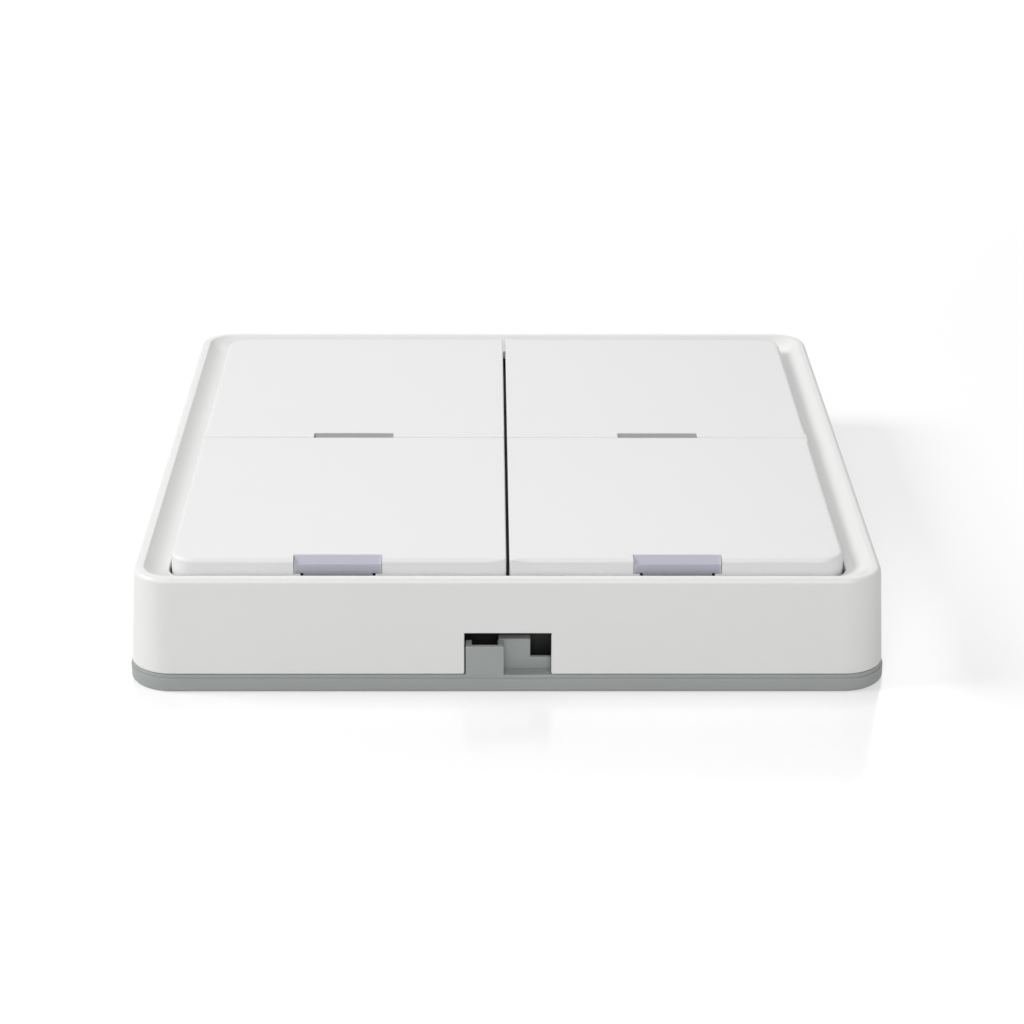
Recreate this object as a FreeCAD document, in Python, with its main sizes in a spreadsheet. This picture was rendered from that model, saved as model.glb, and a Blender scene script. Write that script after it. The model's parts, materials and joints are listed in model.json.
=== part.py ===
# Square wall switch with four keys, a battery inside and a back plate for the wall.
# Millimetres. The origin is the middle of the back plate's back face, +Z points out of the
# wall and -Y to the lower edge, where the pry notch is.

import FreeCAD
import Part
import Sketcher
import math
import os
import re
from FreeCAD import Vector

SIZES = {
    # outer shell: back plate and frame
    "plate_side": 86.0,
    "corner_round": 5.0,
    "base_rim": 2.1,
    "base_floor": 1.6,
    "base_lip": 0.17,
    "base_lip_height": 1.6,
    "base_edge_bevel": 0.25,
    "rim_width": 1.9,
    "seam_gap": 0.08,
    "wall_lean": 0.7,
    "frame_wall": 1.8,
    "crest_round": 0.6,
    "crest_flat": 0.5,
    "crest_inner_round": 0.25,
    "shelf_overlap": 0.05,
    "cove_depth": 1.46,
    "cove_reach": 2.53,
    "cove_radius": 6.5,
    "lip_thickness": 1.14,
    "opening_round": 2.9,
    # keys
    "key_clearance": 0.3,
    "key_end_clearance": 0.6,
    "key_gap": 0.36,
    "key_row_gap": 0.2,
    "key_proud": 0.6,
    "key_room": 0.7,
    "key_skin": 1.8,
    "key_skirt": 1.2,
    "key_corner": 2.6,
    "key_round": 0.5,
    "key_seam_round": 0.15,
    # light window in each key's lower edge
    "window_width": 10.0,
    "window_depth": 1.4,
    "window_head": 1.8,
    "window_slot": 8.5,
    "guide_play": 0.05,
    "guide_foot_width": 7.85,
    "guide_slope": 0.55,
    "guide_edge_round": 0.2,
    "guide_sink": 0.07,
    "stem_gap": 1.2,
    "stem_setback": 1.5,
    "stem_depth": 2.1,
    # hinge at each key's upper edge
    "hinge_inset": 3.2,
    "hinge_side_inset": 7.0,
    "pin_radius": 0.8,
    "pin_play": 0.05,
    "hook_floor": 0.35,
    "hook_width": 2.4,
    "hook_wall": 0.8,
    "hook_rise": 0.9,
    "hook_headroom": 0.35,
    "hook_mouth": 1.3,
    "hook_play": 0.2,
    "rib_thickness": 1.0,
    # key carrier
    "carrier_thickness": 1.2,
    "carrier_play": 0.6,
    "carrier_flange": 1.2,
    "hole_play": 0.4,
    "boss_radius": 2.6,
    # rear cover
    "cover_gap": 0.3,
    "cover_floor": 1.1,
    "cover_play": 1.18,
    "cover_wall": 1.4,
    "cover_round": 2.4,
    "cover_boss_radius": 3.0,
    "relief_long": 13.0,
    "relief_wide": 9.0,
    "relief_deep": 2.1,
    "relief_skin": 1.0,
    "relief_round": 1.0,
    # circuit board and what is soldered on it
    "board_play": 0.4,
    "board_thickness": 1.0,
    "board_round": 1.5,
    "board_room": 1.1,
    "tact_side": 6.0,
    "tact_height": 2.3,
    "tact_cover": 0.2,
    "tact_cover_inset": 0.2,
    "plunger_radius": 1.7,
    "plunger_play": 0.08,
    "plunger_rise": 0.6,
    "plunger_well": 1.0,
    "plunger_travel": 0.25,
    "nub_radius": 1.4,
    "nub_gap": 0.08,
    "terminal_pitch": 4.5,
    "terminal_long": 1.2,
    "terminal_wide": 0.7,
    "terminal_sheet": 0.25,
    "lamp_setback": 2.8,
    "lamp_long": 2.0,
    "lamp_wide": 1.25,
    "lamp_height": 0.5,
    "lens_long": 1.3,
    "lens_wide": 1.05,
    "lens_height": 0.3,
    "chip_offset": 3.0,
    "chip_long": 1.0,
    "chip_wide": 0.5,
    "chip_height": 0.35,
    # battery
    "cell_radius": 10.0,
    "cell_thickness": 3.2,
    "cell_cap_inset": 1.3,
    "cell_cap_height": 0.3,
    "cell_play": 0.25,
    "cell_inset": 0.8,
    "cell_skin_gap": 0.05,
    "roof_gap": 0.1,
    "holder_wall": 2.2,
    "holder_roof": 0.6,
    "holder_window": 5.0,
    "holder_slot": 4.8,
    "tab_width": 4.0,
    "tab_reach": 0.8,
    "contact_sheet": 0.25,
    "contact_wide": 4.0,
    "spring_wide": 3.0,
    "spring_foot": 2.5,
    "spring_ramp": 2.3,
    "spring_pad": 2.4,
    # screws inside
    "screw_inset": 3.6,
    "screw_radius": 1.0,
    "screw_play": 0.05,
    "screw_head_radius": 1.8,
    "screw_head_height": 1.2,
    "screw_head_sink": 0.1,
    "screw_tip_cover": 0.4,
    "cross_long": 2.2,
    "cross_wide": 0.45,
    "cross_depth": 0.6,
    # fixing to the wall
    "slot_spacing": 60.0,
    "slot_length": 8.0,
    "slot_width": 4.2,
    "slot_seat_margin": 2.0,
    "slot_seat_depth": 0.5,
    "pad_long": 56.0,
    "pad_wide": 16.0,
    "pad_thickness": 0.8,
    "pad_place": 27.0,
    "pad_play": 0.15,
    # catches between the back plate and the frame
    "catch_place": 22.0,
    "catch_width": 8.0,
    "catch_thickness": 1.0,
    "catch_height": 4.8,
    "catch_play": 0.25,
    "bump_height": 1.0,
    "bump_proud": 0.45,
    "channel_depth": 0.45,
    "channel_play": 0.4,
    "lug_width": 10.0,
    "lug_height": 1.0,
    "lug_hold": 0.4,
    # pry notch in the frame, pry block and recess on the back plate
    "notch_width": 9.8,
    "notch_height": 5.0,
    "notch_round": 0.25,
    "pry_play": 0.15,
    "pry_width": 4.3,
    "pry_height": 3.45,
    "pry_skin": 0.6,
    "pry_depth": 1.93,
    "recess_sink": 0.1,
    "step_width": 3.0,
    "step_height": 3.55,
    "step_wall": 1.2,
    "sill_height": 1.3,
    "sill_wall": 0.5,
    # radio module
    "radio_gap": 2.55,
    "radio_inset": 1.8,
    "radio_width": 16.0,
    "radio_board": 0.8,
    "shield_margin": 1.0,
    "shield_gap": 2.25,
    "shield_height": 1.6,
    "shield_sheet": 0.2,
    "trace_width": 0.5,
    "trace_pitch": 1.3,
    "trace_length": 4.0,
    "trace_margin": 0.75,
    "trace_thickness": 0.1,
}

# Places that follow from the sizes above. Each is a formula that the sheet works out.
# Levels, from the wall outwards
COVER_BACK = "(base_floor + cover_gap)"
COVER_FLOOR_TOP = f"({COVER_BACK} + cover_floor)"
CELL_BACK = f"({COVER_BACK} + cell_inset)"
CELL_TOP = f"({CELL_BACK} + cell_thickness)"
ROOF_UNDER = f"({CELL_TOP} + roof_gap)"
BOARD_UNDER = f"({ROOF_UNDER} + holder_roof)"
BOARD_TOP = f"({BOARD_UNDER} + board_thickness)"
CARRIER_LEVEL = f"({BOARD_TOP} + board_room)"
CARRIER_TOP = f"({CARRIER_LEVEL} + carrier_thickness)"
KEY_FOOT = f"({CARRIER_TOP} + key_room)"
HINGE_LEVEL = f"({CARRIER_TOP} + hook_floor + pin_play + pin_radius)"
HOOK_TOP = f"({HINGE_LEVEL} + hook_rise)"
SKIN_UNDER = f"({HOOK_TOP} + hook_headroom)"
KEY_TOP = f"({SKIN_UNDER} + key_skin)"
CREST_LEVEL = f"({KEY_TOP} - key_proud)"
COVE_FLOOR = f"({CREST_LEVEL} - cove_depth)"
LIP_UNDER = f"({COVE_FLOOR} - lip_thickness)"
FRAME_FOOT = "(base_rim + seam_gap)"
TACT_TOP = f"({BOARD_TOP} + tact_height)"
COVER_TOP = f"({TACT_TOP} + tact_cover)"
PLUNGER_TOP = f"({COVER_TOP} + plunger_rise)"
LENS_TOP = f"({BOARD_TOP} + lamp_height + lens_height)"
STEM_FOOT = f"({LENS_TOP} + stem_gap)"
CATCH_TOP = "(base_floor + catch_height)"
SCREW_SEAT = f"({COVER_BACK} + screw_head_sink + screw_head_height)"
SCREW_TIP = f"({CARRIER_TOP} - screw_tip_cover)"

# Distances from the middle, from the outside inwards
FOOT_HALF = "(plate_side / 2 - base_lip)"
RIM_INNER = f"({FOOT_HALF} - rim_width)"
CREST_INNER = f"({FOOT_HALF} - wall_lean - crest_round - crest_flat)"
CREST_INNER_ROUND = "(corner_round - base_lip - wall_lean - crest_round - crest_flat)"
OPENING_HALF = f"({CREST_INNER} - cove_reach)"
CAVITY_HALF = f"({FOOT_HALF} - frame_wall)"
CAVITY_ROUND = "(corner_round - base_lip - frame_wall)"
CARRIER_HALF = f"({CAVITY_HALF} - carrier_play)"
CARRIER_ROUND = f"({CAVITY_ROUND} - carrier_play)"
CATCH_OUTER = f"({CAVITY_HALF} - catch_play)"
COVER_HALF = f"({CATCH_OUTER} - catch_thickness - cover_play)"
BOARD_HALF = f"({COVER_HALF} - cover_wall - board_play)"
SCREW_PLACE = f"({BOARD_HALF} - screw_inset)"
KEY_HALF_X = f"(({OPENING_HALF} - key_clearance - key_gap / 2) / 2)"
KEY_HALF_Y = f"(({OPENING_HALF} - key_end_clearance - key_row_gap / 2) / 2)"
KEY_PLACE_X = f"(key_gap / 2 + {KEY_HALF_X})"
KEY_PLACE_Y = f"(key_row_gap / 2 + {KEY_HALF_Y})"
HINGE_X = f"({KEY_HALF_X} - hinge_side_inset)"
HINGE_Y = f"({KEY_HALF_Y} - hinge_inset)"
HOLDER_BORE = "(cell_radius + cell_play)"
HOLDER_OUTER = f"({HOLDER_BORE} + holder_wall)"
RADIO_START = f"({HOLDER_OUTER} + radio_gap)"
RADIO_END = f"({BOARD_HALF} - radio_inset)"
TRACE_START = f"({RADIO_END} - trace_margin - trace_length)"
SHIELD_START = f"({RADIO_START} + shield_margin)"
SHIELD_END = f"({TRACE_START} - shield_gap)"
RECESS_BACK = f"({FOOT_HALF} - pry_depth)"
PRY_LEFT = "(-notch_width / 2 + pry_play)"
RECESS_LEFT = f"({PRY_LEFT} + pry_width)"

QUADRANTS = {
    "upper_left": (-1, 1),
    "upper_right": (1, 1),
    "lower_left": (-1, -1),
    "lower_right": (1, -1),
}
CORNERS = list(QUADRANTS.values())
OVERLAP = 0.2      # how far a rib or boss runs into what carries it, so that they are one solid
CLEAR_CUT = 1.0    # how far a cut runs past the face that it starts from
TRACE_RUNS = 9     # straight runs in the antenna trace
BOX_SLACK = 0.01   # how far the box round a curved edge may reach past the edge

doc = FreeCAD.newDocument("wall_switch")
sheet = doc.addObject("Spreadsheet::Sheet", "size")
for row, (alias, number) in enumerate(SIZES.items(), 1):
    sheet.set(f"A{row}", alias)
    sheet.set(f"B{row}", str(number))
    sheet.setAlias(f"B{row}", alias)
doc.recompute()
pieces = []


# Helpers that bind sizes to the sheet

def formula(text):
    """The text with the sheet's name put before each size in it."""
    return re.sub(r"[a-z_]+", lambda word: f"size.{word[0]}" if word[0] in SIZES else word[0], str(text))


def value(text):
    """The number that a formula gives with the sheet's present sizes."""
    return float(sheet.evalExpression(formula(text)))


def bind(thing, settings):
    """Tie each property of the thing to its formula."""
    for name, text in settings.items():
        thing.setExpression(name, formula(text))


def new_body(label):
    """An empty body that becomes one piece."""
    body = doc.addObject("PartDesign::Body", label)
    body.Label = label
    pieces.append(body)
    return body


def sketch_on(body, role, offset):
    """A sketch on one of the body's own planes, moved along that plane's normal."""
    sketch = body.newObject("Sketcher::SketchObject", "outline")
    plane = next(face for face in body.Origin.OriginFeatures if face.Role == role)
    sketch.AttachmentSupport = [(plane, "")]
    sketch.MapMode = "FlatFace"
    bind(sketch, {"AttachmentOffset.Base.z": offset})
    return sketch


def pin_point(sketch, line, end, across, up):
    """Hold one point of a sketch at its place, across and up, where these are given."""
    for kind, text in (("DistanceX", across), ("DistanceY", up)):
        if text is not None:
            index = sketch.addConstraint(Sketcher.Constraint(kind, -1, 1, line, end, value(text)))
            bind(sketch, {f"Constraints[{index}]": text})


def draw_polygon(sketch, corners):
    """A closed outline of straight lines through the corners."""
    points = [Vector(value(across), value(up), 0) for across, up in corners]
    count = len(points)
    first = sketch.GeometryCount
    for i in range(count):
        sketch.addGeometry(Part.LineSegment(points[i], points[(i + 1) % count]), False)
    for i in range(count):
        sketch.addConstraint(
            Sketcher.Constraint("Coincident", first + i, 2, first + (i + 1) % count, 1))
        pin_point(sketch, first + i, 1, *corners[i])


def draw_box(sketch, left, right, low, high):
    """A rectangle between two places across and two places up."""
    draw_polygon(sketch, [(left, low), (right, low), (right, high), (left, high)])


def draw_side_box(sketch, side, inner, outer, low, high):
    """A rectangle at the left (side -1) or at the right (side 1), inner to outer from the middle."""
    left, right = (inner, outer) if side > 0 else (f"-1 * {outer}", f"-1 * {inner}")
    draw_box(sketch, left, right, low, high)


def draw_rounded(sketch, half_x, half_y, radius, x="0", y="0"):
    """A rectangle with round corners about a middle point."""
    arcs = []
    for turn, (sx, sy) in enumerate([(1, 1), (-1, 1), (-1, -1), (1, -1)]):
        mid_x = f"{x} + {sx} * ({half_x} - {radius})"
        mid_y = f"{y} + {sy} * ({half_y} - {radius})"
        side_x = f"{x} + {sx} * {half_x}"
        side_y = f"{y} + {sy} * {half_y}"
        circle = Part.Circle(Vector(value(mid_x), value(mid_y), 0), Vector(0, 0, 1), value(radius))
        quarter = math.pi / 2
        arc = sketch.addGeometry(Part.ArcOfCircle(circle, turn * quarter, (turn + 1) * quarter), False)
        pin_point(sketch, arc, 3, mid_x, mid_y)
        if turn % 2 == 0:
            pin_point(sketch, arc, 1, side_x, mid_y)
            pin_point(sketch, arc, 2, mid_x, None)
        else:
            pin_point(sketch, arc, 1, mid_x, side_y)
            pin_point(sketch, arc, 2, None, mid_y)
        arcs.append(arc)
    for before, after in zip(arcs, arcs[1:] + arcs[:1]):
        line = sketch.addGeometry(
            Part.LineSegment(sketch.getPoint(before, 2), sketch.getPoint(after, 1)), False)
        sketch.addConstraint(Sketcher.Constraint("Coincident", line, 1, before, 2))
        sketch.addConstraint(Sketcher.Constraint("Coincident", line, 2, after, 1))


def draw_slot(sketch, x, y, length, width):
    """A slot with round ends that runs across."""
    arcs = []
    for side in (1, -1):
        mid_x = f"{x} + {side} * ({length} - {width}) / 2"
        circle = Part.Circle(Vector(value(mid_x), value(y), 0), Vector(0, 0, 1), value(f"{width} / 2"))
        start = -math.pi / 2 * side
        arc = sketch.addGeometry(Part.ArcOfCircle(circle, start, start + math.pi), False)
        pin_point(sketch, arc, 3, mid_x, y)
        pin_point(sketch, arc, 1, mid_x, f"{y} - {side} * {width} / 2")
        pin_point(sketch, arc, 2, mid_x, None)
        arcs.append(arc)
    for before, after in ((arcs[0], arcs[1]), (arcs[1], arcs[0])):
        line = sketch.addGeometry(
            Part.LineSegment(sketch.getPoint(before, 2), sketch.getPoint(after, 1)), False)
        sketch.addConstraint(Sketcher.Constraint("Coincident", line, 1, before, 2))
        sketch.addConstraint(Sketcher.Constraint("Coincident", line, 2, after, 1))


def draw_circle(sketch, x, y, radius):
    """A full circle."""
    circle = Part.Circle(Vector(value(x), value(y), 0), Vector(0, 0, 1), value(radius))
    ring = sketch.addGeometry(circle, False)
    pin_point(sketch, ring, 3, x, y)
    index = sketch.addConstraint(Sketcher.Constraint("Radius", ring, value(radius)))
    bind(sketch, {f"Constraints[{index}]": radius})


def grow(body, sketch, length, **settings):
    """Add the sketch's outline to the body, out along the sketch's normal."""
    pad = body.newObject("PartDesign::Pad", "grow")
    pad.Profile = sketch
    bind(pad, {"Length": length, **settings})
    doc.recompute()
    return pad


def cut(body, sketch, depth, outwards=False):
    """Take the sketch's outline out of the body, against the sketch's normal or along it."""
    before = body.Tip.Shape.Volume
    pocket = body.newObject("PartDesign::Pocket", "cut")
    pocket.Profile = sketch
    pocket.Reversed = outwards
    bind(pocket, {"Length": depth})
    doc.recompute()
    if pocket.Shape.Volume >= before:
        raise ValueError(f"a cut in {body.Label} takes nothing away")
    return pocket


def soften(body, kind, size, test):
    """Round or bevel the edges of the body whose bounds pass the test."""
    tip = body.Tip
    chosen = [f"Edge{i}" for i, edge in enumerate(tip.Shape.Edges, 1) if test(edge.BoundBox)]
    if not chosen:
        raise ValueError(f"no edge to soften in {body.Label}")
    feature = body.newObject(f"PartDesign::{kind}", "soften")
    feature.Base = (tip, chosen)
    bind(feature, {"Radius" if kind == "Fillet" else "Size": size})
    doc.recompute()
    return feature


def near(a, b):
    return abs(a - b) < 0.001


def block(label, x, y, z, width, depth, height):
    """A box from its middle in x and y, and its lowest z."""
    box = doc.addObject("Part::Box", label)
    bind(box, {"Length": width, "Width": depth, "Height": height,
               "Placement.Base.x": f"{x} - ({width}) / 2",
               "Placement.Base.y": f"{y} - ({depth}) / 2",
               "Placement.Base.z": z})
    return box


def drum(label, x, y, z, radius, height):
    """An upright cylinder from its lowest z."""
    cylinder = doc.addObject("Part::Cylinder", label)
    bind(cylinder, {"Radius": radius, "Height": height,
                    "Placement.Base.x": x, "Placement.Base.y": y, "Placement.Base.z": z})
    return cylinder


def minus(label, base, tool):
    """The base with the tool's space taken out of it."""
    result = doc.addObject("Part::Cut", label)
    result.Base = base
    result.Tool = tool
    return result


def together(label, parts):
    """Several shapes as one; shapes that don't touch stay separate solids."""
    result = doc.addObject("Part::MultiFuse", label)
    result.Shapes = parts
    return result


def finish(label, thing):
    """Give a piece its name and put it on the list of pieces."""
    thing.Label = label
    pieces.append(thing)


# Back plate and what sticks it to the wall

def make_base_plate():
    body = new_body("base_plate")
    outline = sketch_on(body, "XY_Plane", "0")
    draw_rounded(outline, "plate_side / 2", "plate_side / 2", "corner_round")
    grow(body, outline, "base_lip_height")
    soften(body, "Chamfer", "base_edge_bevel", lambda b: near(b.ZMax, 0))
    step = sketch_on(body, "XY_Plane", "base_lip_height")
    draw_rounded(step, FOOT_HALF, FOOT_HALF, "(corner_round - base_lip)")
    grow(body, step, "base_rim - base_lip_height")
    hollow = sketch_on(body, "XY_Plane", "base_rim")
    draw_rounded(hollow, RIM_INNER, RIM_INNER, "(corner_round - rim_width)")
    cut(body, hollow, "base_rim - base_floor")
    add_pry_block(body)
    add_recess_walls(body)
    add_catches(body)
    seats = sketch_on(body, "XY_Plane", "base_floor")
    slots = sketch_on(body, "XY_Plane", "base_floor")
    for side in (-1, 1):
        place = f"{side} * slot_spacing / 2"
        draw_slot(seats, place, "0", "(slot_length + 2 * slot_seat_margin)",
                  "(slot_width + 2 * slot_seat_margin)")
        draw_slot(slots, place, "0", "slot_length", "slot_width")
    cut(body, seats, "slot_seat_depth")
    cut(body, slots, "base_floor")
    beds = sketch_on(body, "XY_Plane", "0")
    for side in (-1, 1):
        draw_rounded(beds, "(pad_long / 2 + pad_play)", "(pad_wide / 2 + pad_play)", "2 * pad_play",
                     y=f"{side} * pad_place")
    cut(body, beds, "pad_thickness", outwards=True)


def add_pry_block(body):
    """The block at the left of the notch: a front skin and two side walls, open behind."""
    side = sketch_on(body, "XY_Plane", "base_floor")
    draw_box(side, PRY_LEFT, RECESS_LEFT, f"-1 * {FOOT_HALF}", f"-1 * {RECESS_BACK}")
    grow(body, side, "base_rim + pry_height - base_floor")
    well = sketch_on(body, "XY_Plane", "base_rim + pry_height")
    draw_box(well, f"{PRY_LEFT} + pry_skin", f"{RECESS_LEFT} - pry_skin",
             f"-1 * {FOOT_HALF} + pry_skin", f"-1 * {RECESS_BACK}")
    cut(body, well, "pry_height")


def add_recess_walls(body):
    """The sunk floor for a screwdriver's tip, with a tall and a low wall behind it."""
    floor = sketch_on(body, "XY_Plane", "base_rim")
    draw_box(floor, RECESS_LEFT, "notch_width / 2", f"-1 * {FOOT_HALF} - {CLEAR_CUT}",
             f"-1 * {RECESS_BACK}")
    cut(body, floor, "recess_sink")
    tall = sketch_on(body, "XY_Plane", "base_floor")
    draw_box(tall, f"{RECESS_LEFT} - pry_skin", f"{RECESS_LEFT} + step_width",
             f"-1 * {RECESS_BACK}", f"-1 * {RECESS_BACK} + step_wall")
    grow(body, tall, "base_rim + step_height - base_floor")
    low = sketch_on(body, "XY_Plane", "base_floor")
    draw_box(low, f"{RECESS_LEFT} + step_width - {OVERLAP}", "notch_width / 2",
             f"-1 * {RECESS_BACK}", f"-1 * {RECESS_BACK} + sill_wall")
    grow(body, low, "base_rim + sill_height - base_floor")


def add_catches(body):
    """Four upright tongues inside the frame's side walls, each with a bump near its top."""
    tongues = sketch_on(body, "XY_Plane", "base_floor")
    bumps = sketch_on(body, "XY_Plane", f"{CATCH_TOP} - 2 * bump_height")
    for sx, sy in CORNERS:
        low = f"{sy} * catch_place - catch_width / 2"
        high = f"{sy} * catch_place + catch_width / 2"
        draw_side_box(tongues, sx, f"({CATCH_OUTER} - catch_thickness)", CATCH_OUTER, low, high)
        draw_side_box(bumps, sx, f"({CATCH_OUTER} - {OVERLAP})", f"({CATCH_OUTER} + bump_proud)",
                      low, high)
    grow(body, tongues, "catch_height")
    grow(body, bumps, "bump_height")


def make_adhesive_pads():
    strips = [block("strip", "0", f"{side} * pad_place", "0", "pad_long", "pad_wide", "pad_thickness")
              for side in (-1, 1)]
    finish("adhesive_pads", together("pads", strips))


# Frame: leaning walls, a rounded crest and a cove down to the key field

def make_front_frame():
    body = new_body("front_frame")
    outline = sketch_on(body, "XY_Plane", FRAME_FOOT)
    draw_rounded(outline, FOOT_HALF, FOOT_HALF, "(corner_round - base_lip)")
    rise = f"({CREST_LEVEL} - {FRAME_FOOT})"
    grow(body, outline, rise, TaperAngle=f"-1 * atan(wall_lean / {rise})")
    soften(body, "Fillet", "crest_round", lambda b: near(b.ZMin, value(CREST_LEVEL)))
    cavity = sketch_on(body, "XY_Plane", FRAME_FOOT)
    draw_rounded(cavity, CAVITY_HALF, CAVITY_HALF, CAVITY_ROUND)
    cut(body, cavity, f"{LIP_UNDER} - {FRAME_FOOT}", outwards=True)
    cut_cove(body)
    opening = sketch_on(body, "XY_Plane", CREST_LEVEL)
    draw_rounded(opening, OPENING_HALF, OPENING_HALF, "opening_round")
    cut(body, opening, f"{CREST_LEVEL} - base_rim")
    cut_frame_notch(body)
    cut_catch_channels(body)
    add_carrier_lugs(body)


def cut_cove(body):
    """Carry a hollow section round the inside of the crest, then clear the corners' floor. Its
    arc runs from the crest down to the opening, where it still slopes."""
    reach_in = f"({CREST_INNER} - {CREST_INNER_ROUND} + shelf_overlap)"
    path = sketch_on(body, "XY_Plane", CREST_LEVEL)
    draw_rounded(path, CREST_INNER, CREST_INNER, CREST_INNER_ROUND)
    section = sketch_on(body, "XZ_Plane", "0")
    heel = (OPENING_HALF, COVE_FLOOR)
    high = f"{CREST_LEVEL} + {CLEAR_CUT}"
    corners = [(CREST_INNER, CREST_LEVEL), (CREST_INNER, high), (reach_in, high),
               (reach_in, COVE_FLOOR), heel]
    ends = [Vector(value(across), value(up), 0) for across, up in corners]
    chord = ends[0] - ends[4]
    lift = math.sqrt(value("cove_radius") ** 2 - (chord.Length / 2) ** 2)
    mid = ends[4] + chord * 0.5 + Vector(-chord.y, chord.x, 0) * (lift / chord.Length)
    start, end = (math.atan2(point.y - mid.y, point.x - mid.x) for point in (ends[4], ends[0]))
    circle = Part.Circle(mid, Vector(0, 0, 1), value("cove_radius"))
    arc = section.addGeometry(Part.ArcOfCircle(circle, start, end), False)
    pin_point(section, arc, 1, *heel)
    pin_point(section, arc, 2, CREST_INNER, CREST_LEVEL)
    index = section.addConstraint(Sketcher.Constraint("Radius", arc, value("cove_radius")))
    bind(section, {f"Constraints[{index}]": "cove_radius"})
    first = section.GeometryCount
    for i in range(4):
        section.addGeometry(Part.LineSegment(ends[i], ends[i + 1]), False)
    section.addConstraint(Sketcher.Constraint("Coincident", arc, 2, first, 1))
    section.addConstraint(Sketcher.Constraint("Coincident", first + 3, 2, arc, 1))
    for i in range(3):
        section.addConstraint(Sketcher.Constraint("Coincident", first + i, 2, first + i + 1, 1))
        pin_point(section, first + i, 2, *corners[i + 1])
    hollow = body.newObject("PartDesign::SubtractivePipe", "cove")
    hollow.Profile = (section, [""])
    hollow.Spine = (path, [""])
    doc.recompute()
    shelf = sketch_on(body, "XY_Plane", CREST_LEVEL)
    draw_rounded(shelf, f"({reach_in} + shelf_overlap)", f"({reach_in} + shelf_overlap)",
                 "4 * shelf_overlap")
    cut(body, shelf, "cove_depth")
    inner = value(CREST_INNER) + BOX_SLACK
    top = value(CREST_LEVEL)
    soften(body, "Fillet", "crest_inner_round",
           lambda b: near(b.ZMin, top) and max(b.XMax, b.YMax, -b.XMin, -b.YMin) < inner)


def cut_frame_notch(body):
    """The notch in the lower wall, through which a screwdriver reaches the back plate."""
    notch = sketch_on(body, "XZ_Plane", f"{FOOT_HALF} + {CLEAR_CUT}")
    draw_box(notch, "-1 * notch_width / 2", "notch_width / 2", f"{FRAME_FOOT} - {CLEAR_CUT}",
             "base_rim + notch_height")
    cut(body, notch, f"frame_wall + 2 * {CLEAR_CUT}")
    half = value("notch_width / 2")
    foot = value(FRAME_FOOT)
    soften(body, "Fillet", "notch_round",
           lambda b: near(abs(b.XMin), half) and near(b.XMin, b.XMax) and near(b.ZMax, foot))


def cut_catch_channels(body):
    """Channels in the side walls that the back plate's catches run up into."""
    channels = sketch_on(body, "XY_Plane", FRAME_FOOT)
    for sx, sy in CORNERS:
        draw_side_box(channels, sx, f"({CAVITY_HALF} - {CLEAR_CUT} / 2)",
                      f"({CAVITY_HALF} + channel_depth)",
                      f"{sy} * catch_place - catch_width / 2 - channel_play",
                      f"{sy} * catch_place + catch_width / 2 + channel_play")
    cut(body, channels, f"{CATCH_TOP} - bump_height + channel_play - {FRAME_FOOT}", outwards=True)


def add_carrier_lugs(body):
    """Four lugs inside the walls that hold the key carrier up against the frame's lip."""
    lugs = sketch_on(body, "XY_Plane", f"{CARRIER_LEVEL} - lug_height")
    inner = f"({CARRIER_HALF} - lug_hold)"
    outer = f"({CAVITY_HALF} + {OVERLAP})"
    start, end = "-1 * lug_width / 2", "lug_width / 2"
    for side in (-1, 1):
        draw_side_box(lugs, side, inner, outer, start, end)
    draw_box(lugs, start, end, f"-1 * {outer}", f"-1 * {inner}")
    draw_box(lugs, start, end, inner, outer)
    grow(body, lugs, "lug_height")


# Keys and the light guides in them

def place_in_quadrant(thing, quadrant):
    sx, sy = QUADRANTS[quadrant]
    bind(thing, {"Placement.Base.x": f"{sx} * {KEY_PLACE_X}",
                 "Placement.Base.y": f"{sy} * {KEY_PLACE_Y}"})


def make_key(quadrant):
    """A flat cap with a skirt, drawn about its own middle."""
    sx, sy = QUADRANTS[quadrant]
    body = new_body(f"key_{quadrant}")
    outline = sketch_on(body, "XY_Plane", KEY_FOOT)
    draw_box(outline, f"-1 * {KEY_HALF_X}", KEY_HALF_X, f"-1 * {KEY_HALF_Y}", KEY_HALF_Y)
    grow(body, outline, f"{KEY_TOP} - {KEY_FOOT}")
    wide = value(KEY_HALF_X)
    tall = value(KEY_HALF_Y)
    top = value(KEY_TOP)
    soften(body, "Fillet", "key_corner",
           lambda b: near(b.XMin, sx * wide) and near(b.XMax, sx * wide)
           and near(b.YMin, sy * tall) and near(b.YMax, sy * tall))
    soften(body, "Fillet", "key_round",
           lambda b: near(b.ZMin, top) and (near(sx * b.Center.x, wide) or near(sy * b.Center.y, tall)))
    soften(body, "Fillet", "key_seam_round",
           lambda b: near(b.ZMin, top) and (near(sx * b.Center.x, -wide) or near(sy * b.Center.y, -tall)))
    hollow = sketch_on(body, "XY_Plane", KEY_FOOT)
    draw_rounded(hollow, f"({KEY_HALF_X} - key_skirt)", f"({KEY_HALF_Y} - key_skirt)",
                 "(key_corner - key_skirt)")
    cut(body, hollow, f"{SKIN_UNDER} - {KEY_FOOT}", outwards=True)
    cut_window(body)
    add_key_hinges(body)
    nub = sketch_on(body, "XY_Plane", f"{PLUNGER_TOP} + nub_gap")
    draw_circle(nub, "0", "0", "nub_radius")
    grow(body, nub, f"{SKIN_UNDER} + {OVERLAP} - {PLUNGER_TOP} - nub_gap")
    place_in_quadrant(body, quadrant)


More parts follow.
